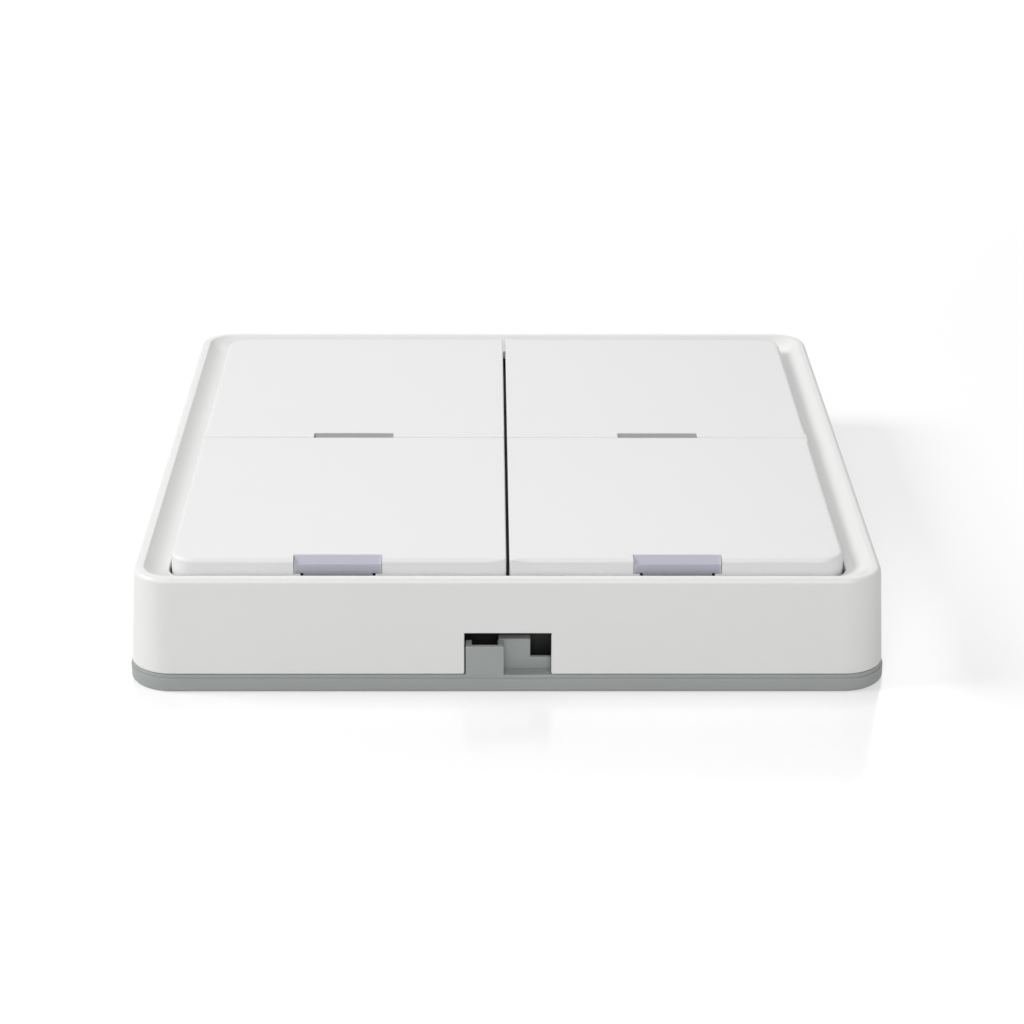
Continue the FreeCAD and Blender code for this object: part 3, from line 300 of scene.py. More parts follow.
# %% The section of the frame
WALL_LEAN = 0.7
WALL_THICK = 1.8
CREST_ROUND = 0.6
CREST_FLAT = 0.5
COVE_INNER_ROUND = 0.25
COVE_DEPTH = 1.46
COVE_REACH = 2.53
COVE_RADIUS = 6.5
COVE_FOOT = 1.14
CORNER = 4.83
OPENING_ROUND = 2.9
EDGE = 0.1
WALL_MARGIN = 0.4
INSIDE_MARGIN = 0.3
CREST_INNER = FRAME_HALF - WALL_LEAN - CREST_ROUND - CREST_FLAT
OPENING_HALF = CREST_INNER - COVE_REACH
CAVITY_HALF = FRAME_HALF - WALL_THICK
COVE_UNDER = CREST - COVE_DEPTH - COVE_FOOT


def arc(centre, radius, start, end, count):
    """Points on a circle: centre + radius * (cos a, sin a), with a in degrees from start to end."""
    angles = np.radians(np.linspace(start, end, count))
    return np.asarray(centre) + radius * np.column_stack([np.cos(angles), np.sin(angles)])


def frame_section():
    """Rows of (distance, height, corner radius) up the leaning wall, over the crest, down the cove and
    back inside. The crest's outer arc touches the wall's line and the top. The cove's circle runs
    through the crest's inner edge and the opening's, so its middle stands sqrt(radius^2 - half^2) off
    the middle of that chord, where half is half the chord's length. The arcs at its two ends touch
    it. The rows are offsets of each other, so their corner radius shrinks with the distance, but down
    the cove it changes over to the larger radius of the opening."""
    lean = math.atan(WALL_LEAN / (CREST - FRAME_FOOT))

    def wall_at(height):
        return FRAME_HALF - (height - FRAME_FOOT) * math.tan(lean)

    outer_mid = (wall_at(CREST - CREST_ROUND) - CREST_ROUND / math.cos(lean), CREST - CREST_ROUND)
    foot = arc((FRAME_HALF - EDGE, FRAME_FOOT + EDGE), EDGE, -90, 0, 4)
    wall = [(wall_at(z), z) for z in (FRAME_FOOT + WALL_MARGIN, CREST - CREST_ROUND - WALL_MARGIN)]
    outer = arc(outer_mid, CREST_ROUND, math.degrees(lean), 90, 12)
    chord = np.array([COVE_REACH, COVE_DEPTH])
    half = np.hypot(*chord) / 2
    lift = math.sqrt(COVE_RADIUS ** 2 - half ** 2) / (2 * half)
    cove_mid = (OPENING_HALF, CREST - COVE_DEPTH) + chord / 2 + lift * np.array([-COVE_DEPTH, COVE_REACH])
    drop = CREST - COVE_INNER_ROUND - cove_mid[1]
    reach = math.sqrt((COVE_RADIUS + COVE_INNER_ROUND) ** 2 - drop ** 2)
    turn = math.degrees(math.atan2(drop, reach))
    inner = arc(cove_mid + (reach, drop), COVE_INNER_ROUND, 90, turn + 180, 8)
    end = -math.degrees(math.acos((OPENING_HALF + EDGE - cove_mid[0]) / (COVE_RADIUS + EDGE)))
    cove = arc(cove_mid, COVE_RADIUS, turn, end, 18)[1:]
    lip = arc(arc(cove_mid, COVE_RADIUS + EDGE, end, end, 1)[0], EDGE, end + 180, 180, 4)[1:]
    lip_under = arc((OPENING_HALF + EDGE, COVE_UNDER + EDGE), EDGE, 180, 270, 4)
    inside = [(CAVITY_HALF, COVE_UNDER), (CAVITY_HALF, COVE_UNDER - INSIDE_MARGIN)]
    inner_foot = arc((CAVITY_HALF + EDGE, FRAME_FOOT + EDGE), EDGE, 180, 270, 4)
    spots = np.concatenate([foot, wall, outer, inner, cove, lip, lip_under, inside, inner_foot])
    share = np.clip((CREST_INNER - spots[:, 0]) / COVE_REACH, 0, 1)
    shrunk = CORNER - (FRAME_HALF - spots[:, 0])
    larger = (OPENING_ROUND - OPENING_HALF) - (CORNER - FRAME_HALF)
    return np.column_stack([spots, shrunk + share * larger])


section = frame_section()
print("points in the section", len(section), "highest", round(section[:, 1].max(), 3))

# %% Carry the section round
shell = loft("frame_shell", [at_height(row(d, d, r), z) for d, z, r in section], ring_shaped=True)
print("frame", len(shell.data.polygons), "faces")

# %% [markdown]
# ## The pry notch
# A flat screwdriver goes into a notch in the frame's lower wall. Its two lower corners are rounded,
# and its rim is slightly broken, as on every moulding. The rim would be hard to draw into the rows,
# so a cutter does both: its outline grows towards the front along a quarter circle, which leaves a
# rounded rim.

# %% Cut the notch
NOTCH_HALF = 4.9
NOTCH_TOP = FRAME_FOOT + 4.92
NOTCH_ROUND = 0.25
NOTCH_RIM = 0.12
NOTCH_REACH = 3.0


def notch_outline(grow):
    """The notch's outline (x, z): straight sides and top, and feet that curve outwards."""
    half, top = NOTCH_HALF + grow, NOTCH_TOP + grow
    right = arc((half + NOTCH_ROUND, FRAME_FOOT + NOTCH_ROUND), NOTCH_ROUND, 270, 180, 7)
    left = right[::-1] * [-1, 1]
    below = FRAME_FOOT - PAST
    return np.concatenate([[(half + NOTCH_ROUND, below)], right, [(half, top), (-half, top)], left,
                           [(-half - NOTCH_ROUND, below)]])


def notch_cutter():
    """Outlines stacked inwards from in front of the wall, each leaning with the wall."""
    rows = []
    for depth, grow in [(-PAST, NOTCH_RIM), *quarter_round(NOTCH_RIM), (NOTCH_REACH, 0.0)]:
        outline = notch_outline(grow)
        lean = (outline[:, 1] - FRAME_FOOT) * WALL_LEAN / (CREST - FRAME_FOOT)
        wall = -FRAME_HALF + np.clip(lean, 0, None)
        rows.append(np.column_stack([outline[:, 0], wall + depth, outline[:, 1]]))
    return loft("cutter", rows)


carve(shell, notch_cutter())
print("with the notch", len(shell.data.polygons), "faces")

# %% [markdown]
# ## What holds the frame
# Four tongues of the back plate reach up inside the frame, and the bump on each of them runs in a
# channel in the frame's wall. Higher up, four lugs on the walls reach under the carrier of the keys.
# None of it shows while the switch is whole, so plain boxes do.

# %% Channels and lugs
CATCH_PLACE, CATCH_HALF, CATCH_PLAY = 22.0, 4.0, 0.4
CHANNEL_INNER, CHANNEL_DEPTH, CHANNEL_TOP = 0.5, 0.45, 5.8
LUG_INNER, LUG_HALF, LUG_THICK, LUG_CORNER = 40.03, 5.0, 1.0, 0.08
LUG_TOP = box_mm("key_carrier")[0][2]
channels = []
for sx, sy in QUADRANTS.values():
    near, far = sorted((sx * (CAVITY_HALF - CHANNEL_INNER), sx * (CAVITY_HALF + CHANNEL_DEPTH)))
    middle, reach = sy * CATCH_PLACE, CATCH_HALF + CATCH_PLAY
    channels.append(box((near, middle - reach, 0), (far, middle + reach, CHANNEL_TOP)))
carve(shell, *channels)
lugs = []
for side in (-1, 1):
    near, far = sorted((side * LUG_INNER, side * (CAVITY_HALF + ROOT)))
    foot = LUG_TOP - LUG_THICK
    lugs.append(block("lug", (near, -LUG_HALF, foot), (far, LUG_HALF, LUG_TOP), LUG_CORNER, 0))
    lugs.append(block("lug", (-LUG_HALF, near, foot), (LUG_HALF, far, LUG_TOP), LUG_CORNER, 0))
add(shell, *lugs)
settle(shell, "switch_unit", "front_frame", "white_shell")

# %% [markdown]
# ## Turned pieces
# Pins, nubs, screws and the coin cell are all round. On a lathe they would be turned from a bar,
# and here a profile of radius and height goes once round an axis in the same way.

# %% Turn a profile round an axis
def turned(name, profile, steps, middle=(0, 0)):
    """Each (radius, height) of the profile becomes the circle (radius * cos a, radius * sin a)."""
    angles = np.linspace(0, 2 * np.pi, steps, endpoint=False)
    circle = np.column_stack([np.cos(angles), np.sin(angles)])
    return loft(name, [at_height(radius * circle + np.asarray(middle, float), z)
                       for radius, z in profile])


# %% [markdown]
# ## The keys
# Each key is a shallow cap. The two sides along the frame end in a soft edge, and the two along the
# neighbours in a much tighter one, so that the seam between two keys stays a thin line. The soft
# edge has to become the tight one before the corner, so the edge radius here is a number for each
# point of the row: it grows smoothly with the distance from the seam.
#
# Two cutters then open the window in the cap's lower edge. Ribs, pins and a nub are added under it:
# the pins turn in the carrier's hooks, and the nub presses the switch on the board.

# %% One key cap
KEY_SKIRT = 1.2
SKIN_UNDER = KEY_TOP - 1.8
SOFT_EDGE, TIGHT_EDGE = 0.5, 0.15
SOFT_START, SOFT_RUN = 0.35, 1.65
OUTER_CORNER, SEAM_CORNER, INNER_CORNER = 2.6, 0.3, 0.1
FOOT_MARGIN, EDGE_MARGIN, FLAT_MARGIN = 0.3, 0.2, 0.9


def smooth(t):
    """0 below 0, 1 above 1, and 3 t^2 - 2 t^3 between."""
    t = np.clip(t, 0, 1)
    return t * t * (3 - 2 * t)


def edge_radii(points, ways, signs):
    """The edge radius at each point of a key's row: tight along the seams, and soft along the outer
    sides, where it changes over on the first 2 mm after the corner shared with a seam."""
    local, ways = points * signs + KEY_HALF, ways * signs
    along = np.where(ways[:, 0] >= ways[:, 1], local[:, 1], local[:, 0])
    outwards = ways.max(axis=1) > 0.5
    return TIGHT_EDGE + (SOFT_EDGE - TIGHT_EDGE) * smooth((along - SOFT_START) / SOFT_RUN) * outwards


def key_cap(name, signs):
    """Rows from the underside of the skin down inside the skirt, and up outside to the top. The top
    edge is drawn in by radius * (1 - cos t) while it rises by radius * sin t, and one more row just
    inside it keeps the large flat even."""
    outer = (CORNER_SIGNS == signs).all(axis=1)
    radii = np.where(outer, OUTER_CORNER, SEAM_CORNER)
    wall = row(*KEY_HALF, radii)
    inner = row(*(KEY_HALF - KEY_SKIRT), np.maximum(radii - KEY_SKIRT, INNER_CORNER))
    edges = edge_radii(wall, DIRECTIONS, signs)
    rows = [at_height(inner, SKIN_UNDER), at_height(inner, KEY_FOOT), at_height(wall, KEY_FOOT),
            at_height(wall, KEY_FOOT + FOOT_MARGIN), at_height(wall, KEY_TOP - edges - EDGE_MARGIN)]
    for t in np.linspace(0, np.pi / 2, 9):
        inset = edges * (1 - math.cos(t))
        rows.append(at_height(wall - DIRECTIONS * inset[:, None], KEY_TOP - edges * (1 - math.sin(t))))
    rows.append(at_height(wall * (1 - FLAT_MARGIN / KEY_HALF[0]), KEY_TOP))
    return loft(name, [points + (*(signs * KEY_PLACE), 0) for points in rows])


# %% Openings and hinges
WINDOW_HALF, WINDOW_DEPTH, WINDOW_HEAD, WINDOW_CORNER, WINDOW_RIM = 5.0, 1.4, 1.8, 0.1, 0.07
SLOT_HALF = 4.25
HINGE_X, HINGE_Y, HINGE_Z, PIN_RADIUS = KEY_HALF[0] - 7, KEY_HALF[1] - 3.2, 11.1, 0.8
RIB_OFFSET, RIB_THICK, RIB_FRONT, RIB_BACK = 1.9, 1.0, 1.6, 1.0
NUB_RADIUS, NUB_BEVEL, NUB_GAP = 1.4, 0.1, 0.08


def window_cutters(middle):
    """The wide head of the window, with a rim that flares by its radius, and the slot below it."""
    front = middle[1] - KEY_HALF[1]
    half_y = (WINDOW_DEPTH + PAST) / 2
    centre = (middle[0], front - PAST + half_y)
    spots = [(0.0, WINDOW_HEAD), *quarter_round(WINDOW_RIM), (WINDOW_RIM, -PAST)]
    head = [at_height(row(WINDOW_HALF + grow, half_y + grow, WINDOW_CORNER + grow, centre),
                      KEY_TOP - down) for grow, down in spots]
    slot = box((middle[0] - SLOT_HALF, front - PAST, KEY_FOOT - PAST),
               (middle[0] + SLOT_HALF, front + WINDOW_DEPTH, KEY_TOP + PAST / 2))
    return loft("cutter", head), slot


def hinge_parts(middle):
    """Four ribs and two pins under the upper edge, and the nub that presses the switch. A pin is
    turned about z, laid on its side along x, and moved to its place."""
    parts = []
    front, back = middle[1] + HINGE_Y - RIB_FRONT, middle[1] + KEY_HALF[1] - RIB_BACK
    for side in (-1, 1):
        x = middle[0] + side * HINGE_X
        for rib in (x - RIB_OFFSET, x + RIB_OFFSET):
            parts.append(box((rib - RIB_THICK / 2, front, HINGE_Z - PIN_RADIUS),
                             (rib + RIB_THICK / 2, back, SKIN_UNDER + ROOT)))
        pin = turned("pin", [(PIN_RADIUS, -RIB_OFFSET), (PIN_RADIUS, RIB_OFFSET)], 32)
        pin.data.transform(Matrix.Translation((x, middle[1] + HINGE_Y, HINGE_Z))
                           @ Matrix.Rotation(math.pi / 2, 4, "Y"))
        parts.append(pin)
    foot = box_mm("tact_plunger_upper_left")[1][2] + NUB_GAP
    nub = [(NUB_RADIUS - NUB_BEVEL, foot), (NUB_RADIUS, foot + NUB_BEVEL), (NUB_RADIUS, SKIN_UNDER + ROOT)]
    return [*parts, turned("nub", nub, 40, middle)]


for quadrant, signs in QUADRANTS.items():
    cap = key_cap(f"key_cap_{quadrant}", signs)
    carve(cap, *window_cutters(signs * KEY_PLACE))
    add(cap, *hinge_parts(signs * KEY_PLACE))
    settle(cap, f"key_{quadrant}", f"key_{quadrant}", "key_plastic")

# %% [markdown]
# ## The light windows
# The window in a key's edge is the head of a light guide, a bar of milky plastic whose stem hangs
# over a lamp on the board. Its top slopes down to the front, so it shows two facets: a bright one
# that faces the sky and a darker one that faces the room. It is small and plain, so two prisms do,
# joined, with their edges rounded by a Bevel modifier.

# %% Light guides
GUIDE_PLAY = 0.05
GUIDE_SINK, GUIDE_SLOPE, GUIDE_FOOT_HALF, GUIDE_EDGE = 0.07, 0.55, 3.925, 0.08
STEM_SETBACK, STEM_DEPTH = 1.5, 2.1


def light_guide(name, middle):
    """The side outline (y, z) of the whole bar, carried along x over its foot, and the outline of the
    head alone, carried over the wider head."""
    edge = middle[1] - KEY_HALF[1]
    front, back, stem = edge + GUIDE_PLAY, edge + WINDOW_DEPTH - GUIDE_PLAY, edge + STEM_SETBACK
    top, under = KEY_TOP - GUIDE_SINK, SKIN_UNDER - GUIDE_PLAY
    head_foot = KEY_TOP - WINDOW_HEAD + GUIDE_PLAY
    stem_foot = box_mm("light_guide_upper_left")[0][2]
    whole = [(front, KEY_FOOT), (stem, KEY_FOOT), (stem, stem_foot), (stem + STEM_DEPTH, stem_foot),
             (stem + STEM_DEPTH, under), (back, under), (back, top), (front, top - GUIDE_SLOPE)]
    head = [(front, head_foot), (back, head_foot), (back, top), (front, top - GUIDE_SLOPE)]
    head_half = WINDOW_HALF - GUIDE_PLAY
    guide = prism(name, whole, middle[0] - GUIDE_FOOT_HALF, middle[0] + GUIDE_FOOT_HALF, 0)
    add(guide, prism("head", head, middle[0] - head_half, middle[0] + head_half, 0))
    return guide


def bevel(piece, width):
    """Rounds every sharp edge of the piece. The width is in millimetres too, but the modifier gets it
    in metres, because it works on the piece after that has become metres."""
    step = piece.modifiers.new("round_edges", "BEVEL")
    step.width = width / METRE
    step.segments = 3
    step.limit_method = "ANGLE"
    step.angle_limit = SHARP_TURN
    step.harden_normals = True


for quadrant, signs in QUADRANTS.items():
    guide = light_guide(f"window_{quadrant}", signs * KEY_PLACE)
    bevel(guide, GUIDE_EDGE)
    settle(guide, f"key_{quadrant}", f"light_guide_{quadrant}", "light_guide")

# %% [markdown]
# ## The back plate
# The grey plate shows its edge under the frame: a low wall that stands out by a hair, and a step
# that the frame sits on. In the notch there is a block for the screwdriver to push against, a sunk
# floor, and two walls of different heights. Inside, four tongues hold the frame, and two slots take
# the wall screws.

# %% Shell of the back plate
PLATE_CORNER, PLATE_LIP, LIP_TOP, RIM_TOP, FLOOR, RIM_WIDE = 5.0, 0.17, 1.6, 2.1, 1.6, 1.9
BACK_BEVEL = [(0.25, 0.0), (0.04, 0.2), (0.0, 0.3)]
LIP_ROUND, LIP_MARGIN, STEP_LOW, STEP_HIGH, RIM_ROUND, FILLET = 0.08, 0.15, 0.1, 0.2, 0.05, 0.1


def plate_rows():
    """The back's bevelled edge, given as (in, up), the low wall with its lip, the step, and the floor
    inside."""
    half, inner, rim = PLATE_HALF, PLATE_HALF - PLATE_LIP, FRAME_HALF - RIM_WIDE
    wall = [(half - inset, up) for inset, up in [*BACK_BEVEL, (0.0, LIP_TOP - LIP_MARGIN)]]
    lip = arc((half - LIP_ROUND, LIP_TOP - LIP_ROUND), LIP_ROUND, 0, 90, 4)
    step = [(inner, LIP_TOP), (inner, LIP_TOP + STEP_LOW), (inner, RIM_TOP - STEP_HIGH)]
    outer = arc((inner - EDGE, RIM_TOP - EDGE), EDGE, 0, 90, 4)
    inside = arc((rim + RIM_ROUND, RIM_TOP - RIM_ROUND), RIM_ROUND, 90, 180, 3)
    floor = [(rim, FLOOR + FILLET), (rim - FILLET, FLOOR)]
    spots = np.concatenate([wall, lip, step, outer, inside, floor])
    return [at_height(row(d, d, PLATE_CORNER - (half - d)), z) for d, z in spots]


plate = loft("plate_shell", plate_rows())
print("plate", len(plate.data.polygons), "faces")

# %% Pry block and recess
PRY_TOP, TALL_TOP, LOW_TOP, RECESS_FLOOR, ABOVE_ALL = 5.55, 5.65, 3.4, 2.0, 9.0
PRY_LEFT, PRY_RIGHT, TALL_RIGHT, NOTCH_RIGHT = -4.75, -0.45, 2.55, 4.9
PRY_SKIN, TALL_THICK, LOW_THICK = 0.6, 1.2, 0.5
PRY_EDGES, TALL_EDGES, LOW_EDGES, WELL_EDGES = (0.12, 0.1), (0.08, 0.08), (0.06, 0.06), (0.1, 0)
RECESS_DEPTH, RECESS_EDGE, RECESS_PAST = 1.93, 0.15, 0.05
RECESS_BACK = RECESS_DEPTH - FRAME_HALF
RECESS_FRONT = PLATE_LIP - PLATE_HALF


def recess_cutter():
    """Its side outline (y, z) carried along x. It dips at the front, which leaves a chamfer there that
    catches the light."""
    past = RECESS_FRONT - RECESS_PAST
    outline = [(past, RECESS_FLOOR - RECESS_EDGE - RECESS_PAST), (RECESS_FRONT + RECESS_EDGE, RECESS_FLOOR),
               (RECESS_BACK, RECESS_FLOOR), (RECESS_BACK, ABOVE_ALL), (past, ABOVE_ALL)]
    return prism("cutter", outline, PRY_RIGHT, NOTCH_RIGHT, 0)


foot = FLOOR - ROOT
add(plate,
    block("pry_block", (PRY_LEFT, -FRAME_HALF, foot), (PRY_RIGHT, RECESS_BACK, PRY_TOP), *PRY_EDGES),
    block("tall_wall", (PRY_RIGHT - PRY_SKIN, RECESS_BACK, foot),
          (TALL_RIGHT, RECESS_BACK + TALL_THICK, TALL_TOP), *TALL_EDGES),
    block("low_wall", (TALL_RIGHT - ROOT, RECESS_BACK, foot),
          (NOTCH_RIGHT, RECESS_BACK + LOW_THICK, LOW_TOP), *LOW_EDGES))
carve(plate,
      block("well", (PRY_LEFT + PRY_SKIN, -FRAME_HALF + PRY_SKIN, RIM_TOP),
            (PRY_RIGHT - PRY_SKIN, RECESS_BACK, ABOVE_ALL), *WELL_EDGES),
      recess_cutter())
print("with the recess", len(plate.data.polygons), "faces")

# %% Tongues, screw slots and beds for the pads
CATCH_GAP, TONGUE_THICK, TONGUE_TOP, TONGUE_EDGE = 0.25, 1.0, 6.4, 0.1
BUMP_ROOT, BUMP_OUT, BUMP_LOW, BUMP_HIGH, BUMP_EDGE = 0.3, 0.45, 4.4, 5.4, 0.12
SLOT_PLACE, SLOT_LONG, SLOT_WIDE = 30.0, 4.0, 2.1
SINK_LONG, SINK_WIDE, SINK_DEPTH = 6.0, 4.1, 0.5
PAD_LONG, PAD_WIDE, PAD_PLACE, PAD_THICK, BED_PLAY, BED_CORNER = 28.0, 8.0, 27.0, 0.8, 0.15, 0.3
HAIR = 1e-3


def slot_cutter(half_length, half_width, foot, x):
    """A slot with round ends. Its radius stays a hair under half its width, because the row needs
    sides of some length."""
    outline = row(half_length, half_width, half_width - HAIR, (x, 0))
    return loft("cutter", [at_height(outline, z) for z in (foot, ABOVE_ALL)])


tongues = []
face = CAVITY_HALF - CATCH_GAP
for sx, sy in QUADRANTS.values():
    low_y, high_y = sy * CATCH_PLACE - CATCH_HALF, sy * CATCH_PLACE + CATCH_HALF
    near, far = sorted((sx * (face - TONGUE_THICK), sx * face))
    tongues.append(block("tongue", (near, low_y, foot), (far, high_y, TONGUE_TOP),
                         TONGUE_EDGE, TONGUE_EDGE))
    near, far = sorted((sx * (face - BUMP_ROOT), sx * (face + BUMP_OUT)))
    tongues.append(block("bump", (near, low_y, BUMP_LOW), (far, high_y, BUMP_HIGH),
                         BUMP_EDGE, BUMP_EDGE, BUMP_EDGE))
add(plate, *tongues)
cuts = []
bed_x, bed_y = PAD_LONG + BED_PLAY, PAD_WIDE + BED_PLAY
for side in (-1, 1):
    cuts.append(slot_cutter(SINK_LONG, SINK_WIDE, FLOOR - SINK_DEPTH, side * SLOT_PLACE))
    cuts.append(slot_cutter(SLOT_LONG, SLOT_WIDE, -PAST, side * SLOT_PLACE))
    cuts.append(block("bed", (-bed_x, side * PAD_PLACE - bed_y, -PAST),
                      (bed_x, side * PAD_PLACE + bed_y, PAD_THICK), BED_CORNER, 0))
carve(plate, *cuts)
settle(plate, "base", "base_plate", "grey_plastic")

# %% [markdown]
# ## Pads, screws and the coin cell
# These show when the switch is off the wall. A foam pad is a flat block with soft edges. A screw has
# a low domed head with a cross in it, and a thread: its radius rises and falls as a triangle wave
# of the height minus the turn, which is what makes it climb. The coin cell is turned: a can with a
# rolled rim, a dark groove with the seal, and a slightly raised cap.

# %% Foam pads
PAD_CORNER, PAD_EDGE = 0.6, 0.12
pads = [block("pads", (-PAD_LONG, y - PAD_WIDE, 0), (PAD_LONG, y + PAD_WIDE, PAD_THICK),
              PAD_CORNER, PAD_EDGE, PAD_EDGE) for y in (-PAD_PLACE, PAD_PLACE)]
settle(add(*pads), "base", "adhesive_pads", "foam_tape")

# %% Case screws
SCREW_PLACE, SCREW_ROOT, SCREW_RADIUS, PITCH, THREAD_FADE = 33.2, 0.82, 1.0, 0.4, 0.8
HEAD_HEIGHT, HEAD_RADIUS, HEAD_DOME, DOME_START, HEAD_EDGE = 1.2, 1.8, 0.35, 0.25, 0.05
CROSS_LONG, CROSS_WIDE, CROSS_DEPTH = 1.1, 0.225, 0.6
THREAD_SIDES, THREAD_ROWS = 32, 8
screw_low, screw_high = (corner[2] for corner in box_mm("case_screws"))


def thread(middle, low, high):
    """Radius = root + (outer - root) * triangle wave of (height / pitch - turn), on a grid of turn
    and height. The wave fades out towards the tip."""
    turns = np.linspace(0, 1, THREAD_SIDES, endpoint=False)
    heights = np.linspace(low, high, int((high - low) / PITCH * THREAD_ROWS))
    phase = (heights[:, None] / PITCH - turns) % 1
    fade = smooth((high - heights) / THREAD_FADE)[:, None]
    radius = SCREW_ROOT + (SCREW_RADIUS - SCREW_ROOT) * (1 - np.abs(2 * phase - 1)) * fade
    angle = 2 * np.pi * turns
    points = np.stack([middle[0] + radius * np.cos(angle), middle[1] + radius * np.sin(angle),
                       np.broadcast_to(heights[:, None], radius.shape)], axis=-1)
    return loft("thread", list(points))


def screw(middle):
    """A domed head with a cross cut into it, and the threaded shank."""
    seat = screw_low + HEAD_HEIGHT
    dome = [(HEAD_RADIUS * math.sin(t), screw_low + HEAD_DOME * (1 - math.cos(t)))
            for t in np.linspace(DOME_START, math.pi / 2, 8)]
    under = [(HEAD_RADIUS, seat - HEAD_EDGE), (HEAD_RADIUS - HEAD_EDGE, seat)]
    head = turned("screws", dome + under, 48, middle)
    x, y = middle
    bars = [box((x - a, y - b, screw_low - PAST), (x + a, y + b, screw_low + CROSS_DEPTH))
            for a, b in ((CROSS_LONG, CROSS_WIDE), (CROSS_WIDE, CROSS_LONG))]
    carve(head, *bars)
    return add(head, thread(middle, seat - ROOT / 2, screw_high))


corners = [(-1, -1), (-1, 1), (1, 1), (1, -1)]
screws = add(*[screw((sx * SCREW_PLACE, sy * SCREW_PLACE)) for sx, sy in corners])
settle(screws, "switch_unit", "case_screws", "screw_steel")

# %% Coin cell
CELL_RADIUS, CELL_EDGE, CELL_RIM, RIM_SINK = 10.0, 0.5, 0.25, 0.55
CAP_RADIUS, CAP_EDGE = 8.65, 0.3
BACK_FLAT, CAP_FLAT, CAP_RING, CAP_DENT = 7.0, 7.6, 7.4, 0.06
GROOVE = [(9.3, 0.45), (9.1, 0.7), (8.85, 0.7), (8.65, 0.5)]
cell_low, cell_high = (corner[2] for corner in box_mm("coin_cell"))


def cell_profile():
    """(radius, height): flat back, rounded edge, wall, rolled rim, groove, and the raised cap. The
    groove is given as (radius, depth under the cap)."""
    edge = arc((CELL_RADIUS - CELL_EDGE, cell_low + CELL_EDGE), CELL_EDGE, -90, 0, 6)
    rim = arc((CELL_RADIUS - CELL_RIM, cell_high - RIM_SINK), CELL_RIM, 0, 100, 6)
    groove = [(radius, cell_high - depth) for radius, depth in GROOVE]
    cap = arc((CAP_RADIUS - CAP_EDGE, cell_high - CAP_EDGE), CAP_EDGE, 0, 90, 6)
    return [(BACK_FLAT, cell_low), *edge, *rim, *groove, *cap,
            (CAP_FLAT, cell_high), (CAP_RING, cell_high - CAP_DENT)]


settle(turned("cell", cell_profile(), 128), "switch_unit", "coin_cell", "cell_steel")

# %% [markdown]
# ## Writing shader maths as it reads
# A material in Blender is a net of nodes. Wired one by one, even 1 - mask takes three lines. The
# class below wraps the output of a node, and its operators add the Math nodes, so that an
# expression such as 0.4 + 0.1 * grain builds its own net. Any other node comes from one method.

# %% Wires and paints
paints = {}


class Wire:
    """An output of a node. Arithmetic on it, with numbers or other wires, adds Math nodes."""

    def __init__(self, paint, socket):
        self.paint = paint
        self.socket = socket

    def out(self, name):
        """Another output of the same node."""
        return Wire(self.paint, self.socket.node.outputs[name])

    def math(self, operation, *values):
        return self.paint.node("ShaderNodeMath", {"operation": operation}, dict(enumerate(values)))

    def __add__(self, other):
        return self.math("ADD", self, other)

    def __sub__(self, other):
        return self.math("SUBTRACT", self, other)

    def __rsub__(self, other):
        return self.math("SUBTRACT", other, self)

    def __mul__(self, other):
        return self.math("MULTIPLY", self, other)

    def __truediv__(self, other):
        return self.math("DIVIDE", self, other)

    def __pow__(self, other):
        return self.math("POWER", self, other)

    def size(self):
        """The value without its sign."""
        return self.math("ABSOLUTE", self)

    def clamp(self):
        """The value held between 0 and 1."""
        return self.paint.node("ShaderNodeClamp", {}, {"Value": self})

    __radd__ = __add__
    __rmul__ = __mul__


